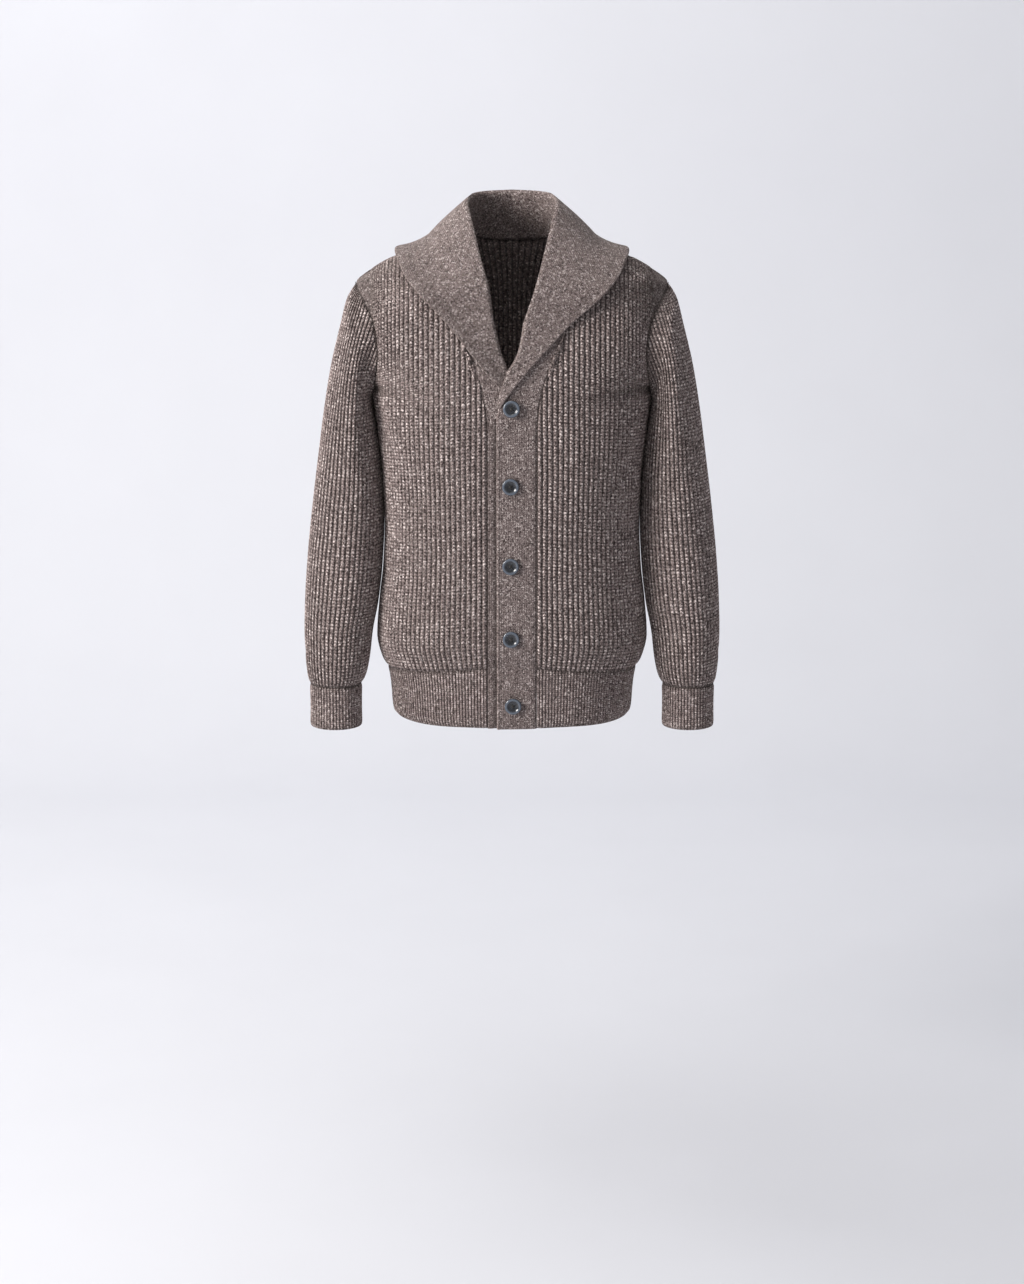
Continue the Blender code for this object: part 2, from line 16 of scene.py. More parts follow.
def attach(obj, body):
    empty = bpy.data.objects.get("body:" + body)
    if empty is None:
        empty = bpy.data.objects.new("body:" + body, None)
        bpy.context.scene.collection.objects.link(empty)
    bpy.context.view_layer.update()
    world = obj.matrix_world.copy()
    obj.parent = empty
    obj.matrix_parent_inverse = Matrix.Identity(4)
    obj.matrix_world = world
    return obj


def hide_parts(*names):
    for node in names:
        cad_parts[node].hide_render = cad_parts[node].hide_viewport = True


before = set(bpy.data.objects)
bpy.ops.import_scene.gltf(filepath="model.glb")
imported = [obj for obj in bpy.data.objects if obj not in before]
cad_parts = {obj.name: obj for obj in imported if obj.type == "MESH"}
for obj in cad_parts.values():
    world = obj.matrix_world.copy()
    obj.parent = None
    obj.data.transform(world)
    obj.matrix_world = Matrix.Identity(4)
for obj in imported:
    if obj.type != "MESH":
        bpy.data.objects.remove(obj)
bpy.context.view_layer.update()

bl_info = {
    "name": "Shawl collar cardigan",
    "version": (1, 0, 0),
    "blender": (4, 5, 0),
    "location": "View3D > Sidebar > Cardigan",
    "description": "Builds a rib knit cardigan with a shawl collar on its packed solids",
    "category": "Object",
}

# Knit and bands
KNIT = 0.0035
BAND_KNIT = 0.0045
EDGE_ROUND = 0.0020  # radius of a turned knitted edge
ROUNDNESS = 2.35  # exponent of the level sections of the body
MIRROR = np.array((-1, 1, 1))
BAND_SEAM_X = 0.0338
OVER_EDGE_X = -0.0208
OVER_STEP = 0.0022
UNDER_SHOWING = 0.0118
BAND_GAP = 0.0006
BAND_TOP = -0.2600
HEM_TOP = -0.5815
HEM_SIDE = -0.5980  # the hem's seam hangs lower at the side seams
HEM_BOTTOM = -0.6690
CUFF_TOP = -0.6210
CUFF_BOTTOM = -0.6810

# Ribs and the mesh that carries them
FRONT_RIBS = 30
BACK_RIBS = 30  # in each half
SLEEVE_RIBS = 47
HEM_FRONT_RIBS = 46
HEM_BACK_RIBS = 54  # in each half
CUFF_RIBS = 50
BODY_ROW = 0.0040  # about how far apart the mesh rows are
SLEEVE_ROW = 0.0045
FRONT_STEPS = 8  # mesh columns to a rib
RIB_STEPS = 6
FRONT_STOPS = ((8, 66), (13, 38), (15, 16))
BACK_STOPS = ((8, 66), (13, 38))
SLEEVE_STOPS = ((12, 118),)
CUFF_STOPS = ((2, 16),)
HEM_ROWS = 14
FLOOR = -1.345
FACING_JOIN = 0.0165  # the join of the collar's facing, inside its free edge
LINE_SAMPLES = 400
STITCH = 0.0046  # height of a stitch of the body rib
FINE_STITCH = 0.0030
COLLAR_STITCH = 0.0024

# Level sections of the body, hem to neck
BODY = np.array([
    # height, half width, front depth, back depth
    (-0.6690, 0.1610, 0.1070, 0.0990),
    (-0.6600, 0.1665, 0.1105, 0.1025),
    (-0.6250, 0.1690, 0.1130, 0.1050),
    (-0.6010, 0.1730, 0.1142, 0.1062),
    (-0.5830, 0.1825, 0.1150, 0.1070),
    (-0.5700, 0.1865, 0.1200, 0.1130),
    (-0.5480, 0.1880, 0.1245, 0.1160),
    (-0.5150, 0.1850, 0.1250, 0.1140),
    (-0.4700, 0.1795, 0.1250, 0.1100),
    (-0.4200, 0.1765, 0.1260, 0.1070),
    (-0.3700, 0.1755, 0.1275, 0.1080),
    (-0.3200, 0.1785, 0.1290, 0.1120),
    (-0.2650, 0.1845, 0.1290, 0.1170),
    (-0.2150, 0.1900, 0.1275, 0.1200),
    (-0.1750, 0.1990, 0.1235, 0.1200),
    (-0.1350, 0.2100, 0.1160, 0.1175),
    (-0.1000, 0.2160, 0.1060, 0.1120),
    (-0.0850, 0.2160, 0.1005, 0.1085),
    (-0.0685, 0.2130, 0.0930, 0.1035),
    (-0.0590, 0.2070, 0.0880, 0.1000),
    (-0.0500, 0.1945, 0.0825, 0.0965),
    (-0.0400, 0.1730, 0.0755, 0.0930),
    (-0.0250, 0.1390, 0.0630, 0.0870),
    (-0.0100, 0.1060, 0.0500, 0.0790),
    (0.0000, 0.0850, 0.0400, 0.0700),
])
NECKLINE = np.array([
    # x, height
    (0.0640, -0.1450),
    (0.0730, -0.1150),
    (0.0800, -0.0820),
    (0.0850, -0.0450),
    (0.0865, -0.0200),
    (0.0850, 0.0000),
])
BACK_NECK = np.array([
    # x, height
    (0.0000, -0.0150),
    (0.0300, -0.0135),
    (0.0600, -0.0080),
    (0.0790, -0.0020),
    (0.0850, 0.0000),
])
SHOULDER_TIP = -0.0685

# Rows of a front, from the hem to the shoulder. The ribs cross them evenly up to the underarm.
FRONT_ROWS = np.array([
    # band seam x, height, outer edge y, height, rise
    (BAND_SEAM_X, HEM_TOP, 0.0000, HEM_SIDE, 0),
    (BAND_SEAM_X, -0.5700, 0.0000, -0.5860, 0),
    (BAND_SEAM_X, -0.5480, 0.0000, -0.5560, 0),
    (BAND_SEAM_X, -0.5150, 0.0000, -0.5100, 0),
    (BAND_SEAM_X, -0.4650, 0.0000, -0.4550, 0),
    (BAND_SEAM_X, -0.4100, 0.0000, -0.3950, 0),
    (BAND_SEAM_X, -0.3550, 0.0000, -0.3350, 0),
    (BAND_SEAM_X, -0.3050, 0.0000, -0.2750, 0.002),
    (BAND_SEAM_X, BAND_TOP, 0.0000, -0.2180, 0.006),
    (0.0358, -0.2280, -0.0430, -0.1980, 0.013),
    (0.0410, -0.2020, -0.0650, -0.1600, 0.024),
    (0.0475, -0.1810, -0.0650, -0.1200, 0.038),
    (0.0530, -0.1670, -0.0430, -0.0850, 0.050),
    (0.0575, -0.1580, 0.0000, SHOULDER_TIP, 0.057),
    (0.0610, -0.1510, 0.0000, -0.0440, 0.054),
])
BACK_ROWS = np.array([
    # middle height, outer edge y, height
    (HEM_TOP, 0.0000, HEM_SIDE),
    (-0.5700, 0.0000, -0.5860),
    (-0.5480, 0.0000, -0.5560),
    (-0.5100, 0.0000, -0.5100),
    (-0.4550, 0.0000, -0.4550),
    (-0.3950, 0.0000, -0.3950),
    (-0.3350, 0.0000, -0.3350),
    (-0.2750, 0.0000, -0.2750),
    (-0.2180, 0.0000, -0.2180),
    (-0.1900, 0.0450, -0.1980),
    (-0.1500, 0.0680, -0.1600),
    (-0.1080, 0.0680, -0.1200),
    (-0.0620, 0.0450, -0.0850),
])
SLEEVE_RINGS = np.array([
    # outer x, outer height, inner x, inner height, y of the middle, half depth
    (0.2235, -0.0880, 0.1925, -0.2270, 0.0010, 0.0740),
    (0.2340, -0.1270, 0.1908, -0.2420, 0.0010, 0.0745),
    (0.2465, -0.1780, 0.1862, -0.2680, 0.0000, 0.0725),
    (0.2565, -0.2350, 0.1821, -0.3030, -0.0010, 0.0695),
    (0.2655, -0.3000, 0.1786, -0.3480, -0.0030, 0.0660),
    (0.2745, -0.3700, 0.1777, -0.3980, -0.0070, 0.0620),
    (0.2820, -0.4400, 0.1803, -0.4520, -0.0120, 0.0585),
    (0.2862, -0.5000, 0.1864, -0.5060, -0.0180, 0.0555),
    (0.2875, -0.5450, 0.1945, -0.5480, -0.0230, 0.0530),
    (0.2865, -0.5800, 0.1985, -0.5820, -0.0265, 0.0500),
    (0.2842, -0.6050, 0.2030, -0.6050, -0.0285, 0.0450),
    (0.2812, CUFF_TOP, 0.2095, CUFF_TOP, -0.0295, 0.0365),
])
CUFF_RINGS = np.array([
    # outer x, outer height, inner x, inner height, y of the middle, half depth
    (0.2812, CUFF_TOP, 0.2095, CUFF_TOP, -0.0295, 0.0360),
    (0.2806, -0.6500, 0.2102, -0.6500, -0.0305, 0.0345),
    (0.2812, CUFF_BOTTOM, 0.2098, CUFF_BOTTOM, -0.0315, 0.0352),
])

# Stations of the collar. The seam is a share of the way along the neckline, the roll is the
# fold and the edge is the free edge. A level is how far the middle stands off the body.
COLLAR_OVER = np.array([
    # seam, roll x, height, level, edge x, height, level
    (0.000, -0.0150, -0.2600, -0.0001, -0.0208, -0.2600, 0.0000),
    (0.065, -0.0162, -0.2370, 0.0002, -0.0207, -0.2370, 0.0006),
    (0.130, -0.0168, -0.2120, 0.0016, -0.0088, -0.2130, 0.0050),
    (0.200, -0.0085, -0.1830, 0.0030, 0.0130, -0.1850, 0.0054),
    (0.265, 0.0080, -0.1510, 0.0040, 0.0455, -0.1480, 0.0050),
    (0.345, 0.0175, -0.1110, 0.0060, 0.0820, -0.1110, 0.0048),
])
COLLAR_UNDER = np.array([
    # seam, roll x, height, level, edge x, height, level
    (0.000, -0.0100, -0.2600, -0.0060, -0.0150, -0.2600, -0.0062),
    (0.065, -0.0110, -0.2350, -0.0058, -0.0060, -0.2350, -0.0038),
    (0.130, -0.0080, -0.2080, -0.0058, 0.0060, -0.2080, -0.0012),
    (0.200, 0.0030, -0.1830, -0.0030, 0.0270, -0.1860, 0.0040),
    (0.265, 0.0165, -0.1480, 0.0020, 0.0560, -0.1505, 0.0048),
    (0.345, 0.0250, -0.1110, 0.0055, 0.0880, -0.1120, 0.0048),
])
COLLAR_NECK = np.array([
    # seam, roll x, y, height, edge x, y, height, hollow
    (0.470, 0.0300, -0.1080, -0.0690, 0.1180, -0.1030, -0.0800, 0.0000),
    (0.590, 0.0420, -0.0830, -0.0250, 0.1420, -0.0730, -0.0550, 0.0020),
    (0.670, 0.0535, -0.0450, 0.0180, 0.1500, -0.0330, -0.0430, 0.0050),
    (0.740, 0.0592, -0.0090, 0.0405, 0.1470, 0.0150, -0.0430, 0.0060),
    (0.820, 0.0540, 0.0290, 0.0475, 0.1290, 0.0600, -0.0440, 0.0060),
    (0.910, 0.0320, 0.0530, 0.0500, 0.0780, 0.0930, -0.0470, 0.0050),
    (1.000, 0.0000, 0.0620, 0.0510, 0.0000, 0.1010, -0.0490, 0.0050),
])
STAND_TURN = 0.6
FALL_TURN = 0.4
FALL_CLEAR = 0.0058
FALL_CLEAR_SHARES = (0.2, 0.4)
STAND_SHARES = np.linspace(0, 1, 19)
FALL_SHARES = np.array([
    0, 0.05, 0.1, 0.16, 0.22, 0.28, 0.34, 0.4, 0.46, 0.52, 0.58, 0.64, 0.7, 0.76, 0.81, 0.85,
    0.88, 0.9, 0.92, 0.94, 0.955, 0.968, 0.978, 0.985, 0.991, 0.996, 1,
])

# Soft folds of the worn cloth: troughs are negative. Each runs from one point to another.
BODY_FOLDS = np.array([
    # x, y, height, to x, y, height, reach, depth
    (-0.100, -0.115, -0.362, -0.056, -0.125, -0.340, 0.0055, -0.0016),
    (-0.092, -0.118, -0.348, -0.052, -0.125, -0.330, 0.0075, 0.0012),
    (-0.170, -0.040, -0.470, -0.075, -0.115, -0.405, 0.0120, -0.0022),
    (-0.172, -0.035, -0.440, -0.085, -0.112, -0.382, 0.0130, 0.0020),
    (-0.176, -0.030, -0.505, -0.070, -0.118, -0.462, 0.0150, 0.0018),
    (-0.165, -0.050, -0.375, -0.120, -0.100, -0.350, 0.0110, -0.0014),
    (-0.195, -0.040, -0.225, -0.150, -0.080, -0.320, 0.0120, -0.0026),
    (-0.182, -0.060, -0.215, -0.138, -0.095, -0.290, 0.0130, 0.0016),
    (0.172, -0.035, -0.455, 0.095, -0.112, -0.412, 0.0130, -0.0020),
    (0.174, -0.035, -0.485, 0.088, -0.114, -0.437, 0.0140, 0.0020),
    (0.172, -0.040, -0.400, 0.118, -0.100, -0.362, 0.0110, -0.0016),
    (0.195, -0.040, -0.222, 0.156, -0.078, -0.330, 0.0120, -0.0024),
    (0.180, -0.062, -0.225, 0.142, -0.092, -0.300, 0.0140, 0.0014),
    (0.165, -0.050, -0.545, 0.070, -0.118, -0.535, 0.0120, 0.0012),
    (-0.160, -0.055, -0.550, -0.080, -0.115, -0.540, 0.0130, 0.0013),
    (0.030, 0.105, -0.440, 0.165, 0.045, -0.490, 0.0150, -0.0026),
    (-0.010, 0.105, -0.415, -0.165, 0.045, -0.450, 0.0160, -0.0028),
    (-0.060, 0.105, -0.455, 0.060, 0.107, -0.470, 0.0170, 0.0026),
    (-0.165, 0.050, -0.500, -0.050, 0.108, -0.515, 0.0150, -0.0018),
    (0.175, 0.040, -0.370, 0.080, 0.102, -0.400, 0.0140, -0.0022),
    (0.192, 0.045, -0.225, 0.130, 0.095, -0.300, 0.0150, -0.0024),
    (-0.192, 0.045, -0.230, -0.122, 0.098, -0.285, 0.0140, -0.0026),
    (0.150, 0.085, -0.130, 0.120, 0.110, -0.250, 0.0180, 0.0018),
    (-0.150, 0.085, -0.140, -0.126, 0.108, -0.235, 0.0160, 0.0016),
])
SLEEVE_FOLDS = np.array([
    # x, y, height, to x, y, height, reach, depth
    (0.2200, -0.0700, -0.1500, 0.2150, -0.0690, -0.3000, 0.0100, 0.0030),
    (0.2080, -0.0640, -0.1700, 0.2030, -0.0600, -0.3000, 0.0085, -0.0030),
    (0.2420, -0.0560, -0.1400, 0.2520, -0.0480, -0.2500, 0.0110, -0.0018),
    (0.1900, -0.0300, -0.3550, 0.2300, -0.0660, -0.3300, 0.0085, -0.0026),
    (0.1870, -0.0250, -0.3800, 0.2400, -0.0640, -0.3700, 0.0100, 0.0022),
    (0.1860, -0.0300, -0.4200, 0.2350, -0.0660, -0.4050, 0.0080, -0.0024),
    (0.2700, -0.0350, -0.3900, 0.2300, -0.0680, -0.4400, 0.0110, -0.0016),
    (0.1950, -0.0500, -0.5200, 0.2550, -0.0730, -0.5350, 0.0090, -0.0018),
    (0.2850, -0.0300, -0.5750, 0.2350, -0.0720, -0.5680, 0.0080, -0.0020),
    (0.2020, -0.0450, -0.5930, 0.2400, -0.0700, -0.5980, 0.0060, 0.0016),
    (0.1860, 0.0250, -0.3700, 0.2450, 0.0560, -0.4000, 0.0110, -0.0034),
    (0.1880, 0.0200, -0.4250, 0.2500, 0.0480, -0.4400, 0.0110, -0.0030),
    (0.2700, 0.0300, -0.3600, 0.2150, 0.0600, -0.3300, 0.0130, 0.0024),
    (0.2200, 0.0650, -0.2000, 0.2350, 0.0640, -0.3200, 0.0130, -0.0024),
    (0.2850, 0.0100, -0.5600, 0.2300, 0.0250, -0.5450, 0.0100, -0.0024),
])

# Buttons
BUTTONS = (
    # x, height, level of the cloth under it
    (-0.0008, -0.2236, 0.0046),
    (-0.0020, -0.3284, 0.0015),
    (-0.0020, -0.4376, 0.0015),
    (-0.0014, -0.5384, 0.0015),
    (0.0014, -0.6345, 0.0015),
)
BUTTON_RADIUS = 0.0115

# What shows of each knitted piece's cut: width, length and area in metres and square metres
FRONT_CUT = (0.26, 0.56, 0.112)
BACK_CUT = (0.56, 0.60, 0.276)
SLEEVE_CUT = (0.48, 0.56, 0.200)
CUFF_CUT = (0.225, 0.060, 0.0135)
HEM_FRONT_CUT = (0.22, 0.0875, 0.0190)
HEM_BACK_CUT = (0.46, 0.0875, 0.0400)


def linear(code):
    """Linear RGBA of an sRGB hex colour."""
    values = [int(code[at : at + 2], 16) / 255 for at in (0, 2, 4)]
    return (*[v / 12.92 if v <= 0.04045 else ((v + 0.055) / 1.055) ** 2.4 for v in values], 1.0)


# ---------------------------------------------------------------- the form of the body


def smooth(places, values, at):
    """Cubic curve through the values that never overshoots them. The places rise."""
    places = np.asarray(places, float)
    values = np.asarray(values, float)
    at = np.asarray(at, float)
    steps = np.diff(places).reshape((-1,) + (1,) * (values.ndim - 1))
    rises = np.diff(values, axis=0) / steps
    before = rises[:-1]
    after = rises[1:]
    turning = before * after <= 0
    total = np.where(turning, 1.0, before + after)
    middle = np.where(turning, 0.0, 2 * before * after / total)
    slopes = np.concatenate([rises[:1], middle, rises[-1:]])
    low = np.clip(np.searchsorted(places, at) - 1, 0, len(places) - 2)
    share = (at - places[low]) / (places[low + 1] - places[low])
    share = share.reshape(share.shape + (1,) * (values.ndim - 1))
    step = steps[low] if values.ndim > 1 else np.diff(places)[low]
    square = share**2
    cube = share**3
    return (
        (2 * cube - 3 * square + 1) * values[low]
        + (cube - 2 * square + share) * step * slopes[low]
        + (3 * square - 2 * cube) * values[low + 1]
        + (cube - square) * step * slopes[low + 1]
    )


def level_sizes(height):
    """Half width, front depth and back depth of the body at a height."""
    height = np.clip(height, BODY[0, 0], BODY[-1, 0])
    return [smooth(BODY[:, 0], BODY[:, column], height) for column in (1, 2, 3)]


def body_depth(x, height, side):
    """y of the body at x and a height, on the front (side -1) or the back (side 1)."""
    width, front, back = level_sizes(height)
    share = np.clip(np.abs(x) / width, 0, 1)
    depth = front if side < 0 else back
    return side * depth * (1 - share**ROUNDNESS) ** (1 / ROUNDNESS)


def body_width(y, height):
    """x of the body's left half at y and a height."""
    width, front, back = level_sizes(height)
    share = np.clip(abs(y) / (front if y < 0 else back), 0, 1)
    return width * (1 - share**ROUNDNESS) ** (1 / ROUNDNESS)


def body_slope(points):
    """Outward slope of the body at each point, and how far past the body's surface it is."""
    x, y, height = np.moveaxis(points, -1, 0)
    step = 0.0005
    width, front, back = level_sizes(height)
    wider, deeper, rounder = [
        (above - below) / (2 * step)
        for above, below in zip(level_sizes(height + step), level_sizes(height - step))
    ]
    depth = np.where(y < 0, front, back)
    deepening = np.where(y < 0, deeper, rounder)
    across = np.abs(x) / width
    through = np.abs(y) / depth
    slope = np.stack(
        [
            np.sign(x) * across ** (ROUNDNESS - 1) / width,
            np.sign(y) * through ** (ROUNDNESS - 1) / depth,
            -(across**ROUNDNESS * wider / width + through**ROUNDNESS * deepening / depth),
        ],
        axis=-1,
    )
    slope *= ROUNDNESS
    past = across**ROUNDNESS + through**ROUNDNESS - 1
    return slope, past / np.maximum(np.linalg.norm(slope, axis=-1), 1e-6)


def outward(points):
    """Unit normals of the body at points on or near it."""
    slope, _ = body_slope(points)
    return slope / np.linalg.norm(slope, axis=-1, keepdims=True)


def along(line, shares):
    """Points at shares of the length of a line of points."""
    steps = np.linalg.norm(np.diff(line, axis=0), axis=1)
    way = np.concatenate([[0], np.cumsum(steps)])
    way /= way[-1]
    return np.stack([np.interp(shares, way, line[:, axis]) for axis in range(3)], axis=-1)


def loft(rows, stops):
    """Rows along the smooth surface through the given rows, with each stop's row among them."""
    rows = np.asarray(rows)
    steps = np.linalg.norm(np.diff(rows, axis=0), axis=2).mean(axis=1)
    way = np.concatenate([[0], np.cumsum(steps)])
    places = [np.zeros(1)]
    start = 0
    for row, facets in stops:
        places.append(np.linspace(way[start], way[row], facets + 1)[1:])
        start = row
    return smooth(way, rows, np.concatenate(places))


def body_row(start, end, side, rise=0):
    """Line on the body from one (x, height) to another, bowed up by the rise."""
    ease = np.sin(np.linspace(0, math.pi / 2, LINE_SAMPLES))
    x = start[0] + (end[0] - start[0]) * ease
    height = start[1] + (end[1] - start[1]) * ease + rise * np.sin(math.pi * ease**0.75)
    return np.stack([x, body_depth(x, height, side), height], axis=-1)


def body_line(corners, side):
    """Smooth line on the body through (x, height) corners."""
    at = np.linspace(0, len(corners) - 1, LINE_SAMPLES)
    x, height = smooth(np.arange(len(corners)), corners, at).T
    return np.stack([x, body_depth(x, height, side), height], axis=-1)


def front_lines():
    """Lines across the wearer's left front, from the band or neckline to the outer edge."""
    lines = [
        body_row(
            (seam_x, seam_height), (body_width(edge_y, edge_height), edge_height), -1, rise
        )
        for seam_x, seam_height, edge_y, edge_height, rise in FRONT_ROWS
    ]
    return lines + [body_line(NECKLINE, -1)]


def back_lines(shoulder):
    """Lines across the left half of the back, from the middle to the outer edge."""
    lines = [
        body_row((0, middle_height), (body_width(edge_y, edge_height), edge_height), 1)
        for middle_height, edge_y, edge_height in BACK_ROWS
    ]
    return lines + [np.concatenate([body_line(BACK_NECK, 1)[:-1], shoulder])]


def mirrored(grid):
    """The same grid on the other side of the body, with its points in the opposite order."""
    return grid[:, ::-1] * MIRROR


def whole_back(half):
    """Both halves of a back grid, from the left side seam to the right one."""
    return np.concatenate([half[:, ::-1], (half * MIRROR)[:, 1:]], axis=1)


def wall_sides(grid, normals, share):
    """Outer and inner side of a knitted wall that is a share of its full thickness."""
    turned = normals * (KNIT / 2) * (1 - share)
    return grid - turned, grid - normals * KNIT + turned


def grid_normals(grid, ring=False):
    """Unit normals of a grid of points, from its neighbours. A ring closes across."""
    up = np.gradient(grid, axis=0)
    if ring:
        over = np.roll(grid, -1, axis=1) - np.roll(grid, 1, axis=1)
    else:
        over = np.gradient(grid, axis=1)
    normals = np.cross(over, up)
    length = np.linalg.norm(normals, axis=-1, keepdims=True)
    return normals / np.maximum(length, 1e-12)


def folded(grid, normals, folds):
    """The grid with soft folds pressed in. Each fades out at both its ends."""
    offset = np.zeros(grid.shape[:2])
    for fold in folds:
        start, end = fold[:3], fold[3:6]
        reach, depth = fold[6:]
        line = end - start
        share = np.clip(((grid - start) @ line) / (line @ line), -0.3, 1.3)
        away = np.linalg.norm(grid - start - share[..., None] * line, axis=-1)
        fade = np.sin(math.pi * np.clip((share + 0.3) / 1.6, 0, 1)) ** 1.5
        bow = reach * (0.8 + 0.5 * share)
        offset += depth * np.exp(-((away / bow) ** 2)) * fade
    return grid + normals * offset[..., None]


def fade_in(distance, reach):
    """0 at no distance, smoothly up to 1 at the reach."""
    share = np.clip(distance / reach, 0, 1)
    return share * share * (3 - 2 * share)


def courses(grid, stitch):
    """How many stitches each point of a grid is up its own column."""
    steps = np.linalg.norm(np.diff(grid, axis=0), axis=-1)
    return np.concatenate([np.zeros((1, grid.shape[1])), np.cumsum(steps, axis=0)]) / stitch


# ---------------------------------------------------------------- cloth


def cloth_mesh(name, outer, inner, ribs, rows_up, relief, ring=False, every=2):
    """Closed shell between two grids, of which the inner one may have fewer rows. Carries the ribs
    and courses as a UV map, and as attributes the rib count and how far it stands out; the knit
    material also darkens low places by that attribute as painted shade, and on the collar and bands
    it holds their painted light and shade."""
    rows, columns = outer.shape[:2]
    inner = inner[::every]
    inner_rows = len(inner)
    count = rows * columns
    spans = np.arange(columns if ring else columns - 1)
    beside = (spans + 1) % columns
    faces = []
    corners = []

    def strip(low, high, low_row, high_row, turned):
        """A row of faces between two rows of points, and where each corner is on the UV map."""
        face = np.stack([low + spans, low + beside, high + beside, high + spans], axis=1)
        corner = np.stack([spans, spans + 1, spans + 1, spans], axis=1) * rows
        corner += np.array((low_row, low_row, high_row, high_row))
        faces.extend(face[:, ::-1].tolist() if turned else face.tolist())
        corners.extend(corner[:, ::-1].tolist() if turned else corner.tolist())

    for row in range(rows - 1):
        strip(row * columns, (row + 1) * columns, row, row + 1, False)
    for row in range(inner_rows - 1):
        low = count + row * columns
        strip(low, low + columns, every * row, every * (row + 1), True)
    strip(0, count, 0, 0, True)
    strip((rows - 1) * columns, count + (inner_rows - 1) * columns, rows - 1, rows - 1, False)
    if not ring:
        for column, turned in ((0, False), (columns - 1, True)):
            for row in range(inner_rows - 1):
                within = count + row * columns + column
                edge = [every * row + up for up in range(every + 1)]
                for low, high in zip(edge, edge[1:]):
                    face = (low * columns + column, high * columns + column, within)
                    corner = (column * rows + low, column * rows + high, column * rows + low)
                    faces.append(face[::-1] if turned else face)
                    corners.append(corner[::-1] if turned else corner)
                face = (edge[-1] * columns + column, within + columns, within)
                corner = [column * rows + at for at in (edge[-1], edge[-1], edge[0])]
                faces.append(face[::-1] if turned else face)
                corners.append(corner[::-1] if turned else corner)
    mesh = bpy.data.meshes.new(name)
    points = np.concatenate([outer.reshape(-1, 3), inner.reshape(-1, 3)])
    mesh.from_pydata(points.tolist(), [], faces)
    ribs = np.asarray(ribs, float)
    if ribs.ndim == 1:
        ribs = np.broadcast_to(ribs, (rows, len(ribs)))
    up = np.concatenate([rows_up, rows_up[:, :1]], axis=1) if ring else rows_up
    place = np.stack([ribs.T.ravel(), up.T.ravel()], axis=1)
    layer = mesh.uv_layers.new(name="knit")
    flat = np.array([at for corner in corners for at in corner])
    layer.data.foreach_set("uv", place[flat].astype(np.float32).ravel())
    rib = ribs[:, :columns]
    for title, out, within in (("rib", rib, rib[::every]), ("relief", relief, -relief[::every])):
        attribute = mesh.attributes.new(title, "FLOAT", "POINT")
        values = np.concatenate([out.ravel(), within.ravel()])
        attribute.data.foreach_set("value", values.astype(np.float32))
    mesh.shade_smooth()
    mesh.update()
    return mesh


def add_node(tree, kind, settings=None, links=None, values=None):
    """Adds a node with its settings, its input values and the links into it."""
    node = tree.nodes.new(kind)
    for name, value in (settings or {}).items():
        setattr(node, name, value)
    for name, value in (values or {}).items():
        node.inputs[name].default_value = value
    for name, socket in (links or {}).items():
        tree.links.new(socket, node.inputs[name])
    return node


def tree_with(name, sockets):
    """An empty geometry node tree with a geometry input and output and the named inputs."""
    tree = bpy.data.node_groups.new(name, "GeometryNodeTree")
    tree.interface.new_socket("Geometry", in_out="OUTPUT", socket_type="NodeSocketGeometry")
    tree.interface.new_socket("Geometry", in_out="INPUT", socket_type="NodeSocketGeometry")
    for title, kind in sockets:
        tree.interface.new_socket(title, in_out="INPUT", socket_type=kind)
    return tree


def run_tree(base, tree, values):
    """The plain mesh that a tree makes of an object, which is then removed."""
    modifier = base.modifiers.new(tree.name, "NODES")
    modifier.node_group = tree
    sockets = {item.name: item.identifier for item in tree.interface.items_tree}
    for title, value in values.items():
        modifier[sockets[title]] = value
    depsgraph = bpy.context.evaluated_depsgraph_get()
    mesh = bpy.data.meshes.new_from_object(base.evaluated_get(depsgraph))
    base.modifiers.remove(modifier)
    return mesh


def finish_tree(tree, geometry, material):
    """Ends a tree with the instances made real and the material set."""
    real = add_node(tree, "GeometryNodeRealizeInstances", links={"Geometry": geometry})
    dressed = add_node(
        tree, "GeometryNodeSetMaterial", links={"Geometry": real.outputs[0], "Material": material},
    )
    output = tree.nodes.new("NodeGroupOutput")
    tree.links.new(dressed.outputs[0], output.inputs[0])


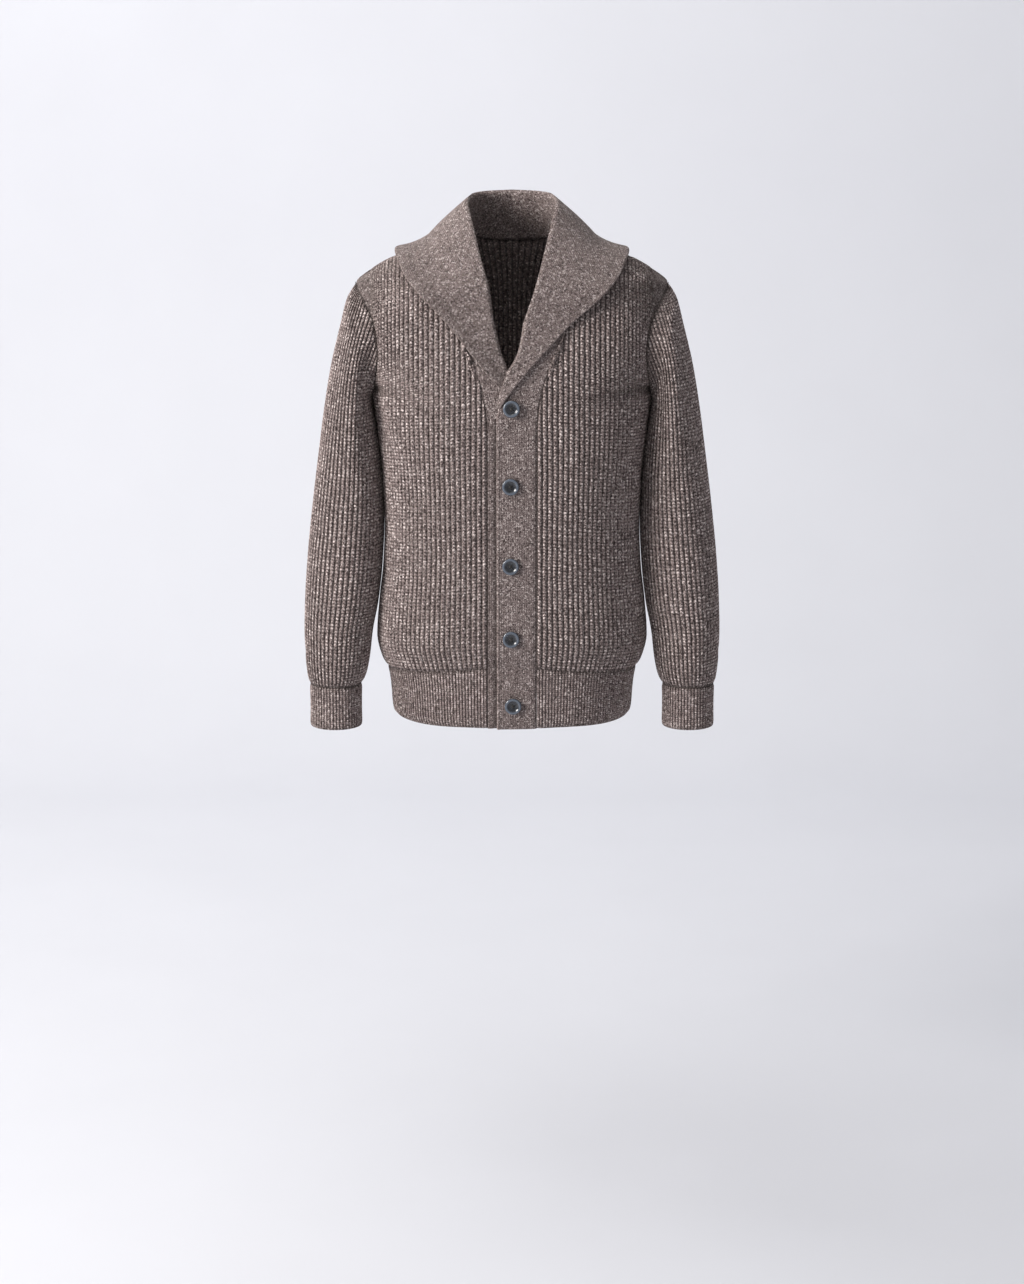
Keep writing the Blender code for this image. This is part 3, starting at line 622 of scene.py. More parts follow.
def rib_tree():
    """Raises the ribs: round cords with narrow furrows that waver a little as knitting does."""
    tree = bpy.data.node_groups.get("rib relief")
    if tree:
        return tree
    tree = tree_with(
        "rib relief",
        (
            ("Depth", "NodeSocketFloat"),
            ("Waver", "NodeSocketFloat"),
            ("Roundness", "NodeSocketFloat"),
            ("Material", "NodeSocketMaterial"),
        ),
    )
    given = tree.nodes.new("NodeGroupInput")
    rib = add_node(
        tree, "GeometryNodeInputNamedAttribute", {"data_type": "FLOAT"}, values={"Name": "rib"}
    )
    relief = add_node(
        tree, "GeometryNodeInputNamedAttribute", {"data_type": "FLOAT"}, values={"Name": "relief"}
    )
    uneven = add_node(tree, "ShaderNodeTexNoise", values={"Scale": 45.0, "Detail": 1.0})
    centred = add_node(
        tree, "ShaderNodeMath", {"operation": "SUBTRACT"}, {0: uneven.outputs[0]}, {1: 0.5}
    )
    shift = add_node(
        tree, "ShaderNodeMath", {"operation": "MULTIPLY_ADD"},
        {0: centred.outputs[0], 1: given.outputs["Waver"], 2: rib.outputs["Attribute"]},
    )
    turn = add_node(
        tree, "ShaderNodeMath", {"operation": "MULTIPLY"}, {0: shift.outputs[0]}, {1: math.pi}
    )
    wave = add_node(tree, "ShaderNodeMath", {"operation": "SINE"}, {0: turn.outputs[0]})
    cord = add_node(tree, "ShaderNodeMath", {"operation": "ABSOLUTE"}, {0: wave.outputs[0]})
    shaped = add_node(
        tree, "ShaderNodeMath", {"operation": "POWER"},
        {0: cord.outputs[0], 1: given.outputs["Roundness"]},
    )
    level = add_node(
        tree, "ShaderNodeMath", {"operation": "SUBTRACT"}, {0: shaped.outputs[0]}, {1: 0.62}
    )
    strength = add_node(
        tree, "ShaderNodeMath", {"operation": "MULTIPLY"},
        {0: relief.outputs["Attribute"], 1: given.outputs["Depth"]},
    )
    height = add_node(
        tree, "ShaderNodeMath", {"operation": "MULTIPLY"},
        {0: level.outputs[0], 1: strength.outputs[0]},
    )
    normal = tree.nodes.new("GeometryNodeInputNormal")
    offset = add_node(
        tree, "ShaderNodeVectorMath", {"operation": "SCALE"},
        {0: normal.outputs[0], "Scale": height.outputs[0]},
    )
    moved = add_node(
        tree, "GeometryNodeSetPosition",
        links={"Geometry": given.outputs["Geometry"], "Offset": offset.outputs[0]},
    )
    finish_tree(tree, moved.outputs[0], given.outputs["Material"])
    return tree


def placed(name, mesh):
    """A new object for a mesh, linked at the origin."""
    piece = bpy.data.objects.new(name, mesh)
    bpy.context.scene.collection.objects.link(piece)
    return piece


def dressed(name, mesh, nodes, slot):
    """The finished piece: it rides on the body and stands for its solids."""
    piece = placed(name, mesh)
    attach(piece, "root")
    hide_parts(*nodes)
    return piece


def knitted(name, mesh, node, slot, material, depth, waver, cut):
    """A rib knit piece with its ribs raised."""
    base = placed(name + "_flat", mesh)
    values = {"Depth": depth, "Waver": waver, "Roundness": 0.75, "Material": material}
    raised = run_tree(base, rib_tree(), values)
    bpy.data.objects.remove(base)
    raised.name = name
    raised.shade_smooth()
    piece = dressed(name, raised, [node], slot)
    width, length, area = cut
    return piece


# ---------------------------------------------------------------- grids of the pieces


def make_grids():
    """Grids of the outer surfaces of the wearer's left half, and the lines they share."""
    fronts = front_lines()
    across = np.linspace(0, 1, FRONT_RIBS * FRONT_STEPS + 1)
    front = loft([along(line, across) for line in fronts], FRONT_STOPS)
    underarm = FRONT_STOPS[0][1]
    tip = underarm + FRONT_STOPS[1][1]
    shoulder = front[tip:, -1]
    backs = back_lines(shoulder[::-1])
    shares = np.linspace(0, 1, BACK_RIBS * RIB_STEPS + 1)
    half = loft([along(line, shares) for line in backs], BACK_STOPS)
    sides = SLEEVE_RIBS * RIB_STEPS
    turn = np.linspace(0, 1, sides // 2 + 1)
    turn = 0.5 * turn + 0.5 * turn**2.6
    front_edge = along(front[tip : underarm - 1 : -1, -1], turn)
    back_edge = along(half[underarm : tip + 1, -1], turn)
    loop = np.concatenate([front_edge[:-1], back_edge[:-1]])
    rings = [loop] + [sleeve_ring(row, sides) for row in SLEEVE_RINGS]
    cuff_sides = CUFF_RIBS * RIB_STEPS
    neck = body_line(BACK_NECK, 1)[::-1]
    neckline = np.concatenate(
        [front[underarm:, 0], front[-1, 6::5], along(neck, np.linspace(0.02, 1, 40))],
    )
    return {
        "front": front,
        "half": half,
        "sleeve": loft(rings, SLEEVE_STOPS),
        "cuff": loft([sleeve_ring(row, cuff_sides) for row in CUFF_RINGS], CUFF_STOPS),
        "hem": rib_hem(BAND_SEAM_X, -1, HEM_FRONT_RIBS),
        "hem_half": rib_hem(0, 1, HEM_BACK_RIBS),
        "seam": neckline,
        "armhole": loop,
        "shoulder": shoulder,
    }


def rib_hem(start_x, side, ribs):
    """Grid of the rib hem of a body piece, from the hem edge up to its seam."""
    shares = np.linspace(0, 1, ribs * RIB_STEPS + 1)
    rows = []
    for height in turned_heights(HEM_BOTTOM, HEM_TOP, HEM_ROWS):
        rise = (height - HEM_BOTTOM) / (HEM_TOP - HEM_BOTTOM)
        side_height = HEM_BOTTOM + (HEM_SIDE - HEM_BOTTOM) * rise
        end = (body_width(0, side_height), side_height)
        rows.append(along(body_row((start_x, height), end, side), shares))
    return np.array(rows)


def turned_heights(bottom, top, rows):
    """Heights from an edge up, close together where the edge turns."""
    turn = bottom + EDGE_ROUND * np.array((0, 0.12, 0.4, 1.0))
    return np.concatenate([turn, np.linspace(turn[-1], top, rows)[1:]])


def turned_share(distance):
    """Share of the full thickness of knitting at a distance from its turned edge."""
    share = np.clip(distance / EDGE_ROUND, 0, 1)
    return np.sqrt(np.clip(1 - (1 - share) ** 2, 0.004, 1))


def sleeve_ring(row, sides):
    """Ring of a sleeve: from its outer side, round by the front."""
    outer_x, outer_height, inner_x, inner_height, middle_y, half_depth = row
    outer = np.array((outer_x, middle_y, outer_height))
    inner = np.array((inner_x, middle_y, inner_height))
    turn = np.linspace(0, 2 * math.pi, sides, endpoint=False)[:, None]
    middle = (outer + inner) / 2
    return middle + (outer - inner) / 2 * np.cos(turn) - np.array((0, half_depth, 0)) * np.sin(turn)


def edge_distances(grid):
    """Distance of each point from the start and the end of its row."""
    steps = np.linalg.norm(np.diff(grid, axis=1), axis=-1)
    way = np.concatenate([np.zeros((len(grid), 1)), np.cumsum(steps, axis=1)], axis=1)
    return way, way[:, -1:] - way


def seam_dip(distance, depth=0.0012, reach=0.0030):
    """How far cloth is drawn in at a sewn seam."""
    return -depth * np.exp(-((distance / reach) ** 2))


def front_ribs(front, from_side):
    """Rib count at each point of a front. Above the underarm the ribs run straight up, so
    they end one by one at the neckline and at the armhole."""
    underarm = FRONT_STOPS[0][1]
    ribs = FRONT_RIBS * (1 - from_side / from_side[:, :1])
    for row in range(underarm + 1, len(front)):
        ribs[row] = np.interp(front[row, :, 0], front[underarm, :, 0], ribs[underarm])
    return ribs


def body_panel(name, grid, mirror, ribs, relief, node, settings, cut, dips):
    """One panel of the body on its grid, with its folds, seams and ribs."""
    if mirror:
        grid = mirrored(grid)
        ribs = ribs[..., ::-1]
        relief = relief[:, ::-1]
        dips = dips[:, ::-1]
    form = outward(grid)
    grid = folded(grid, form, BODY_FOLDS) + form * dips[..., None]
    normals = grid_normals(grid)
    inner = grid - normals * KNIT
    mesh = cloth_mesh(name, grid, inner, ribs, courses(grid, STITCH), relief)
    return knitted(
        name, mesh, node, "body_rib_knit", rib_knit(), settings.rib_depth, settings.rib_waver, cut
    )


# ---------------------------------------------------------------- materials


def new_material(name):
    """An empty node material with its tree and its output."""
    material = bpy.data.materials.new(name)
    material.use_nodes = True
    tree = material.node_tree
    tree.nodes.clear()
    output = tree.nodes.new("ShaderNodeOutputMaterial")
    return material, tree, output


def marl(tree, place, settings, fleck_size):
    """Colour of the marled yarn: a warm grey brown ground, twisted with pale and dark strands."""
    strands = add_node(
        tree, "ShaderNodeTexNoise", links={"Vector": place},
        values={"Scale": 1 / fleck_size, "Detail": 4.0, "Roughness": 0.72},
    )
    ramp = add_node(tree, "ShaderNodeValToRGB", links={"Fac": strands.outputs[0]})
    stops = (
        (0.34, settings.dark), (0.44, settings.shade), (0.50, settings.ground),
        (0.56, settings.ground), (0.67, settings.light),
    )
    elements = ramp.color_ramp.elements
    while len(elements) < len(stops):
        elements.new(0.5)
    for element, (position, colour) in zip(elements, stops):
        element.position = position
        element.color = (*colour, 1)
    cells = add_node(
        tree, "ShaderNodeTexVoronoi", links={"Vector": place},
        values={"Scale": 0.8 / fleck_size, "Randomness": 1.0},
    )
    chance = add_node(tree, "ShaderNodeSeparateColor", links={"Color": cells.outputs["Color"]})
    flecked = ramp.outputs[0]
    for channel, colour in ((0, settings.light), (1, settings.dark)):
        fleck = add_node(
            tree, "ShaderNodeMapRange", links={"Value": chance.outputs[channel]},
            values={"From Min": 0.82, "From Max": 0.88, "To Max": 0.75},
        )
        mixed = add_node(
            tree, "ShaderNodeMix", {"data_type": "RGBA"},
            {0: fleck.outputs[0], 6: flecked}, {7: (*colour, 1)},
        )
        flecked = mixed.outputs[2]
    return flecked


def wool_shader(tree, output, colour, height, distance):
    """Matt wool: soft bloom at the edge of the form and no gloss."""
    bump = add_node(
        tree, "ShaderNodeBump", links={"Height": height},
        values={"Strength": 1.0, "Distance": distance},
    )
    shader = add_node(
        tree, "ShaderNodeBsdfPrincipled",
        links={"Base Color": colour, "Normal": bump.outputs[0]},
        values={
            "Roughness": 0.95,
            "Specular IOR Level": 0.15,
            "Sheen Weight": 0.35,
            "Sheen Roughness": 0.45,
            "Sheen Tint": linear("c9b9b0"),
        },
    )
    tree.links.new(shader.outputs[0], output.inputs[0])


def stitch_height(tree, slant, noise_amount):
    """Height of knitted stitches from the knit UV: one V of yarn to each rib and course.
    Gives the height and how near the middle of its rib each place is."""
    uv = add_node(tree, "ShaderNodeUVMap", {"uv_map": "knit"})
    coords = tree.nodes.new("ShaderNodeTexCoord")
    wander = add_node(
        tree, "ShaderNodeTexNoise", links={"Vector": coords.outputs["Object"]},
        values={"Scale": 260.0, "Detail": 2.0},
    )
    wandering = add_node(
        tree, "ShaderNodeVectorMath", {"operation": "MULTIPLY_ADD"},
        {0: wander.outputs[1], 2: uv.outputs[0]}, {1: (noise_amount, noise_amount, 0)},
    )
    split = add_node(tree, "ShaderNodeSeparateXYZ", links={0: wandering.outputs[0]})
    within = add_node(tree, "ShaderNodeMath", {"operation": "FRACT"}, {0: split.outputs[0]})
    centred = add_node(
        tree, "ShaderNodeMath", {"operation": "SUBTRACT"}, {0: within.outputs[0]}, {1: 0.5}
    )
    aside = add_node(tree, "ShaderNodeMath", {"operation": "ABSOLUTE"}, {0: centred.outputs[0]})
    lean = add_node(
        tree, "ShaderNodeMath", {"operation": "MULTIPLY_ADD"},
        {0: aside.outputs[0], 2: split.outputs[1]}, {1: slant},
    )
    loop = add_node(tree, "ShaderNodeMath", {"operation": "FRACT"}, {0: lean.outputs[0]})
    turn = add_node(
        tree, "ShaderNodeMath", {"operation": "MULTIPLY"}, {0: loop.outputs[0]}, {1: math.pi}
    )
    bead = add_node(tree, "ShaderNodeMath", {"operation": "SINE"}, {0: turn.outputs[0]})
    plump = add_node(tree, "ShaderNodeMath", {"operation": "POWER"}, {0: bead.outputs[0]}, {1: 0.6})
    cord = add_node(
        tree, "ShaderNodeMapRange", {"interpolation_type": "SMOOTHSTEP"},
        {"Value": aside.outputs[0]},
        {"From Min": 0.5, "From Max": 0.22, "To Min": 0.0, "To Max": 1.0},
    )
    return plump.outputs[0], cord.outputs[0], coords.outputs["Object"]


def knit_material(name, slant, wander, bump, furrow_painted_shade, fleck_size, cord_painted_light, recess_shade_floor):
    """Marled wool knitted in ribs, with each stitch, painted shade in the furrows, a painted
    highlight on the cords and the loose fibres.
    """
    existing = bpy.data.materials.get(name)
    if existing:
        return existing
    settings = bpy.context.scene.cardigan_yarn
    material, tree, output = new_material(name)
    stitches, cord, place = stitch_height(tree, slant, wander)
    colour = marl(tree, place, settings, fleck_size)
    shade = add_node(tree, "ShaderNodeMath", {"operation": "MULTIPLY"}, {0: stitches, 1: cord})
    # Painted shade and painted highlight: the colour is scaled down in the furrows between the ribs
    # and up on the tops of the cords.
    painted_light_tone = add_node(
        tree, "ShaderNodeMapRange", links={"Value": shade.outputs[0]},
        values={"From Max": 0.9, "To Min": furrow_painted_shade, "To Max": cord_painted_light},
    )
    # Painted shade: the colour is darkened where the relief attribute is low, at the seams and
    # edges of each piece and where its ribs are flattened; on the collar and bands the attribute
    # holds their painted light and shade.
    relief = add_node(
        tree, "ShaderNodeAttribute", {"attribute_name": "relief", "attribute_type": "GEOMETRY"}
    )
    raised = add_node(tree, "ShaderNodeMath", {"operation": "ABSOLUTE"}, {0: relief.outputs["Fac"]})
    painted_recess_shade = add_node(
        tree, "ShaderNodeMapRange", links={"Value": raised.outputs[0]},
        values={"To Min": recess_shade_floor, "To Max": 1.0},
    )
    toned = add_node(
        tree, "ShaderNodeMath", {"operation": "MULTIPLY"}, {0: painted_light_tone.outputs[0], 1: painted_recess_shade.outputs[0]}
    )
    shaded = add_node(
        tree, "ShaderNodeVectorMath", {"operation": "SCALE"}, {0: colour, "Scale": toned.outputs[0]}
    )
    fibres = add_node(
        tree, "ShaderNodeTexNoise", links={"Vector": place},
        values={"Scale": 900.0, "Detail": 3.0, "Roughness": 0.7},
    )
    height = add_node(
        tree, "ShaderNodeMath", {"operation": "MULTIPLY_ADD"},
        {0: fibres.outputs[0], 2: shade.outputs[0]}, {1: 0.55},
    )
    wool_shader(tree, output, shaded.outputs[0], height.outputs[0], bump)
    return material


def rib_knit():
    """Fisherman rib in marled lambswool: chunky knobbly cords with shadowed furrows."""
    return knit_material(
        "marled lambswool fisherman rib", slant=0.9, wander=0.16, bump=0.0022, furrow_painted_shade=0.34,
        fleck_size=0.0018, cord_painted_light=1.34, recess_shade_floor=0.62,
    )


def fine_rib():
    """One by one rib in the same lambswool: thinner, flatter cords that look smoother."""
    return knit_material(
        "marled lambswool one by one rib", slant=0.8, wander=0.14, bump=0.0012, furrow_painted_shade=0.42,
        fleck_size=0.0017, cord_painted_light=1.20, recess_shade_floor=0.60,
    )


def collar_knit():
    """Dense plain lambswool, milled so that the stitches close up: an even flecked nap."""
    return knit_material(
        "marled lambswool milled knit", slant=1.0, wander=0.30, bump=0.0008, furrow_painted_shade=0.56,
        fleck_size=0.0014, cord_painted_light=1.06, recess_shade_floor=0.0,
    )


# ---------------------------------------------------------------- settings


class CardiganKnitSettings(bpy.types.PropertyGroup):
    """Sizes of the knitting."""

    rib_depth: FloatProperty(
        name="Rib depth", description="How far a rib stands above its furrow", default=0.0030,
        min=0, max=0.006, unit="LENGTH",
    )
    rib_waver: FloatProperty(
        name="Rib waver", description="How far a rib wanders, in ribs", default=0.25, min=0, max=1
    )
    fine_rib_depth: FloatProperty(
        name="Fine rib depth", description="Depth of the hem and cuff ribs", default=0.0019,
        min=0, max=0.003, unit="LENGTH",
    )


class CardiganYarnSettings(bpy.types.PropertyGroup):
    """Colours of the marled yarn."""

    ground: FloatVectorProperty(
        name="Ground", description="Main strand", default=linear("8f817e")[:3], subtype="COLOR"
    )
    shade: FloatVectorProperty(
        name="Shade", description="Deeper strand", default=linear("6c5f5d")[:3], subtype="COLOR"
    )
    light: FloatVectorProperty(
        name="Light", description="Pale flecks", default=linear("d9ccc8")[:3], subtype="COLOR"
    )
    dark: FloatVectorProperty(
        name="Dark", description="Dark flecks", default=linear("352c2b")[:3], subtype="COLOR"
    )


class CardiganButtonSettings(bpy.types.PropertyGroup):
    """Sizes of the buttons."""

    hole_radius: FloatProperty(
        name="Hole radius", description="Radius of a sewing hole", default=0.0010,
        min=0.0004, max=0.002, unit="LENGTH",
    )
    hole_offset: FloatProperty(
        name="Hole offset", description="Hole from the middle, along each axis",
        default=0.0019, min=0.001, max=0.004, unit="LENGTH",
    )
    thread_radius: FloatProperty(
        name="Thread radius", description="Radius of the sewing thread", default=0.0005,
        min=0.0001, max=0.001, unit="LENGTH",
    )


class CardiganStitchSettings(bpy.types.PropertyGroup):
    """Sizes of the stitches along the seams."""

    spacing: FloatProperty(
        name="Spacing", description="From one stitch to the next", default=0.0046,
        min=0.002, max=0.02, unit="LENGTH",
    )
    length: FloatProperty(
        name="Length", description="Length of a stitch", default=0.0034,
        min=0.001, max=0.01, unit="LENGTH",
    )
    seed: IntProperty(name="Seed", description="Unevenness of the sewing", default=7, min=0)


# ---------------------------------------------------------------- the collar and the bands


def level_point(x, height, level):
    """Point at a level over the body's front."""
    point = np.array([x, body_depth(x, height, -1), height])
    return point + outward(point[None])[0] * level


def front_stations(table):
    """Seam share, roll, edge and hollow of each station of a table of front stations."""
    return [
        (share, level_point(rx, rz, rl), level_point(ex, ez, el), 0.0)
        for share, rx, rz, rl, ex, ez, el in table
    ]


def neck_stations():
    """Seam share, roll, edge and hollow of each station round the neck."""
    return [(row[0], row[1:4], row[4:7], row[7]) for row in COLLAR_NECK]


def collar_row(station, seam):
    """Points across the collar's middle at a station, from the seam over the roll to the edge."""
    share, roll, edge, hollow = station
    start = along(seam, [share])[0]
    start = start - outward(start[None])[0] * BAND_KNIT / 2
    flat = start + (roll - start) * STAND_TURN
    fall = roll + (edge - roll) * FALL_TURN
    if hollow:
        aside = np.cross(np.cross(roll - start, edge - roll), edge - roll)
        fall = fall - aside / np.linalg.norm(aside) * hollow
    corners = np.array([start, flat, roll, fall, edge])
    line = smooth(np.arange(5), corners, np.linspace(0, 4, LINE_SAMPLES + 1))
    middle = LINE_SAMPLES // 2
    stand = along(line[: middle + 1], STAND_SHARES)
    return np.concatenate([stand, along(line[middle:], FALL_SHARES)[1:]])


def lifted(grid, shares):
    """The collar's grid with its fall moved clear of the body, from the front turn upwards."""
    grid = grid.copy()
    fall = grid[:, len(STAND_SHARES) - 1 :]
    slope, over = body_slope(fall)
    slope /= np.linalg.norm(slope, axis=-1, keepdims=True)
    clear = np.interp(shares, FALL_CLEAR_SHARES, (0, FALL_CLEAR))[:, None]
    short = np.clip(clear - over, 0, None) * (fall[..., 2] < 0) * (clear > 0)
    fall += slope * short[..., None]
    return grid


def share_of(line):
    """How far along a line each of its points is, as a share of the line's length."""
    steps = np.linalg.norm(np.diff(line, axis=0), axis=1)
    way = np.concatenate([[0], np.cumsum(steps)])
    return way / way[-1]


def collar_half(front_table, seam):
    """Grid of the middle of half of the collar, with a row at each point of the neckline."""
    stations = front_stations(front_table) + neck_stations()
    rows = [collar_row(station, seam) for station in stations]
    shares = share_of(seam)
    grid = smooth([station[0] for station in stations], rows, shares)
    grid[:, 0] = seam - outward(seam) * BAND_KNIT / 2
    return lifted(grid, shares)


def over_step(x):
    """How far the top band stands off the body at x: nothing at its seam."""
    return OVER_STEP * (BAND_SEAM_X - x) / (BAND_SEAM_X - OVER_EDGE_X)


def under_step(x):
    """How far the band beneath stands off the body at x, measured from its own seam side."""
    lapped = np.clip((BAND_SEAM_X - x) / UNDER_SHOWING, 0, 1)
    beneath = over_step(-np.minimum(x, -OVER_EDGE_X)) - BAND_KNIT - BAND_GAP
    return beneath * lapped**2 * (3 - 2 * lapped)


def band_rows(places, step):
    """Grid of the middle of a front band, from the hem up to the collar."""
    heights = turned_heights(HEM_BOTTOM, BAND_TOP, 100)[:-1]
    rows = [[(x, body_depth(x, height, -1), height) for x in places] for height in heights]
    grid = np.array(rows)
    level = step(grid[..., 0]) - BAND_KNIT / 2
    return grid + outward(grid) * level[..., None]


def collar_grid(seam):
    """Grid of the middle of the bands and the collar, up one front and down the other. Each
    row runs from the free edge over the roll to the seam."""
    over = collar_half(COLLAR_OVER, seam)
    under = collar_half(COLLAR_UNDER, seam)
    over = np.concatenate([band_rows(over[0, :, 0], over_step), over])
    under = np.concatenate([band_rows(under[0, :, 0], under_step), under])
    return np.concatenate([over, (under * MIRROR)[-2::-1]])[:, ::-1]


def button_places():
    """Where each button lies, and which way it faces."""
    for x, height, level in BUTTONS:
        place = level_point(x, height, 0)
        out = outward(place[None])[0]
        yield place + out * (level + 0.0003), out


def collar_shell(name, grid):
    """Shell of the collar and bands, with rounded free edges, seams drawn in, the pulled-in
    cloth under the buttons and the rolled edge of the top band."""
    normals = grid_normals(grid)
    edge, seam = edge_distances(grid)
    bands = fade_in(BAND_TOP + 0.03 - grid[..., 2], 0.06) * (grid[..., 1] < 0)
    level = seam_dip(seam) + bands * 0.0007 * np.exp(-(((edge - 0.0025) / 0.0020) ** 2))
    for place, _ in button_places():
        away = np.linalg.norm(grid - place, axis=-1)
        level -= 0.0010 * np.exp(-((away / 0.010) ** 2))
    uneven = np.sin(np.arange(len(grid)) * 0.21) * np.sin(np.arange(len(grid)) * 0.083 + 1)
    level += 0.0004 * uneven[:, None] * np.exp(-((edge / 0.02) ** 2))
    grid = grid + normals * level[..., None]
    ends = np.minimum(np.arange(len(grid)), np.arange(len(grid))[::-1])
    bottom = np.where(ends[:, None] < 100, np.abs(grid[..., 2] - HEM_BOTTOM), 1)
    share = turned_share(np.minimum(edge, bottom))
    half = normals * (BAND_KNIT / 2 * share)[..., None]
    # The relief attribute of the collar and bands carries their painted light and shade.
    return cloth_mesh(
        name, grid + half, grid - half, edge / COLLAR_STITCH,
        courses(grid, COLLAR_STITCH), collar_painted_light(grid, edge, seam, bands), every=1,
    )


def collar_painted_light(grid, edge, seam, bands):
    """Painted light and shade of each place of the collar and bands: painted shade at the seams and
    at the join of the facing, a painted highlight along the rolled free edge, and a painted shadow
    on the lower band in the narrow space beside the top band's edge."""
    # Painted highlight along the free edge, painted shade at the seam and at the join of the
    # facing.
    painted_light_tone = 1 + 0.20 * np.exp(-((edge / 0.0028) ** 2)) - 0.50 * np.exp(-((seam / 0.0020) ** 2))
    painted_light_tone -= 0.24 * (1 - bands) * np.exp(-(((edge - FACING_JOIN) / 0.0016) ** 2))
    lower = np.arange(len(grid))[:, None] > len(grid) // 2
    beside = -OVER_EDGE_X + grid[..., 0]
    # Painted shadow on the lower band beside the top band's free edge.
    gap_painted_shadow = np.exp(-((beside / 0.0035) ** 2)) * lower * (grid[..., 2] < BAND_TOP + 0.02)
    return painted_light_tone - 0.75 * gap_painted_shadow * (grid[..., 1] < 0)


# ---------------------------------------------------------------- operators


class CARDIGAN_OT_body(bpy.types.Operator):
    """Knit the two fronts and the back"""

    bl_idname = "cardigan.body"
    bl_label = "Fronts and back"

    def execute(self, context):
        """Builds the panels of the body."""
        settings = context.scene.cardigan_knit
        grids = make_grids()
        front = grids["front"]
        from_band, from_side = edge_distances(front)
        ribs = front_ribs(front, from_side)
        from_top = np.arange(len(front))[::-1, None] * BODY_ROW
        felted = fade_in(from_side * -1 + 0.075, 0.06) * fade_in(-0.33 - front[..., 2], 0.10)
        bold = 1 + 0.40 * np.exp(-((from_band / 0.013) ** 4))
        edges = fade_in(from_band, 0.003) * fade_in(from_side, 0.004) * fade_in(from_top, 0.006)
        # The relief sets how far the ribs stand out; the knit material also paints shade where it
        # is low, at the seams, the edges and the flattened ribs low by the side seams.
        relief = (1 - 0.45 * felted) * bold * edges
        dips = seam_dip(from_band) + seam_dip(from_side) + seam_dip(courses(front, 1))
        for side, mirror in (("left", False), ("right", True)):
            body_panel(
                f"front_{side}_knit", front, mirror, ribs, relief, f"front_{side}", settings,
                FRONT_CUT, dips,
            )
        half = grids["half"]
        back = whole_back(half)
        ribs = np.linspace(0, 2 * BACK_RIBS, back.shape[1])
        one, other = edge_distances(back)
        top = np.arange(len(back))[::-1, None] * BODY_ROW
        relief = fade_in(one, 0.004) * fade_in(other, 0.004) * fade_in(top, 0.006)
        dips = seam_dip(one) + seam_dip(other) + seam_dip(courses(back, 1))
        body_panel("back_knit", back, False, ribs, relief, "back", settings, BACK_CUT, dips)
        return {"FINISHED"}


class CARDIGAN_OT_sleeves(bpy.types.Operator):
    """Knit the sleeves and their cuffs"""

    bl_idname = "cardigan.sleeves"
    bl_label = "Sleeves and cuffs"

    def execute(self, context):
        """Builds each sleeve and cuff as a closed tube wall, open at both ends."""
        settings = context.scene.cardigan_knit
        grids = make_grids()
        # a ring runs round from the outer side by the front, and the rows run down
        sleeve = grids["sleeve"][::-1]
        sleeve = folded(sleeve, tube_normals(sleeve), SLEEVE_FOLDS)
        rows = np.arange(len(sleeve))[:, None]
        full = np.ones(sleeve.shape[:2])
        from_cap = rows[::-1] * SLEEVE_ROW * full
        from_cuff = rows * SLEEVE_ROW * full
        sleeve += tube_normals(sleeve) * (seam_dip(from_cap) + seam_dip(from_cuff))[..., None]
        relief = fade_in(from_cap, 0.006) * fade_in(from_cuff, 0.008)
        cuff = grids["cuff"][::-1]
        heights = turned_heights(CUFF_BOTTOM, CUFF_TOP, len(cuff))
        middle = cuff[:, :, 2].mean(axis=1)
        cuff = smooth(middle, cuff, heights)
        from_seam = (CUFF_TOP - heights)[:, None] * np.ones(cuff.shape[:2])
        cuff += tube_normals(cuff) * seam_dip(from_seam)[..., None]
        cuff_relief = fade_in(from_seam, 0.005) * fade_in(heights[:, None] - CUFF_BOTTOM, 0.006)
        bottom = turned_share(heights - CUFF_BOTTOM)[:, None, None]
        for side, mirror in (("left", False), ("right", True)):
            self.tube(
                f"sleeve_{side}_knit", sleeve, mirror, SLEEVE_RIBS, relief, f"sleeve_{side}",
                "body_rib_knit", rib_knit(), settings.rib_depth * 0.9, STITCH, SLEEVE_CUT,
                settings, 1.0,
            )
            self.tube(
                f"cuff_{side}_knit", cuff, mirror, CUFF_RIBS, cuff_relief, f"cuff_{side}",
                "fine_rib_knit", fine_rib(), settings.fine_rib_depth, FINE_STITCH, CUFF_CUT,
                settings, bottom,
            )
        return {"FINISHED"}

    def tube(
        self, name, grid, mirror, ribs, relief, node, slot, material, depth, stitch, cut, settings,
        share,
    ):
        """One sleeve or cuff on its rings, for the left arm or mirrored for the right."""
        if mirror:
            grid = np.roll(grid, -1, axis=1) * MIRROR
            relief = np.roll(relief, -1, axis=1)
        normals = grid_normals(grid, ring=True)
        middle = grid.mean(axis=1, keepdims=True)
        if ((grid - middle) * normals).sum() < 0:
            grid, relief = grid[:, ::-1], relief[:, ::-1]
            normals = grid_normals(grid, ring=True)
        outer, inner = wall_sides(grid, normals, share)
        counts = np.linspace(0, ribs, grid.shape[1] + 1)
        mesh = cloth_mesh(
            name, outer, inner, counts, courses(grid, stitch), relief, ring=True,
            every=2 if len(grid) % 2 else 1,
        )
        knitted(name, mesh, node, slot, material, depth, settings.rib_waver, cut)


def tube_normals(grid):
    """Normals of the rings of a sleeve, pointing out of the sleeve."""
    normals = grid_normals(grid, ring=True)
    middle = grid.mean(axis=1, keepdims=True)
    return normals * np.sign(((grid - middle) * normals).sum(axis=-1).mean())


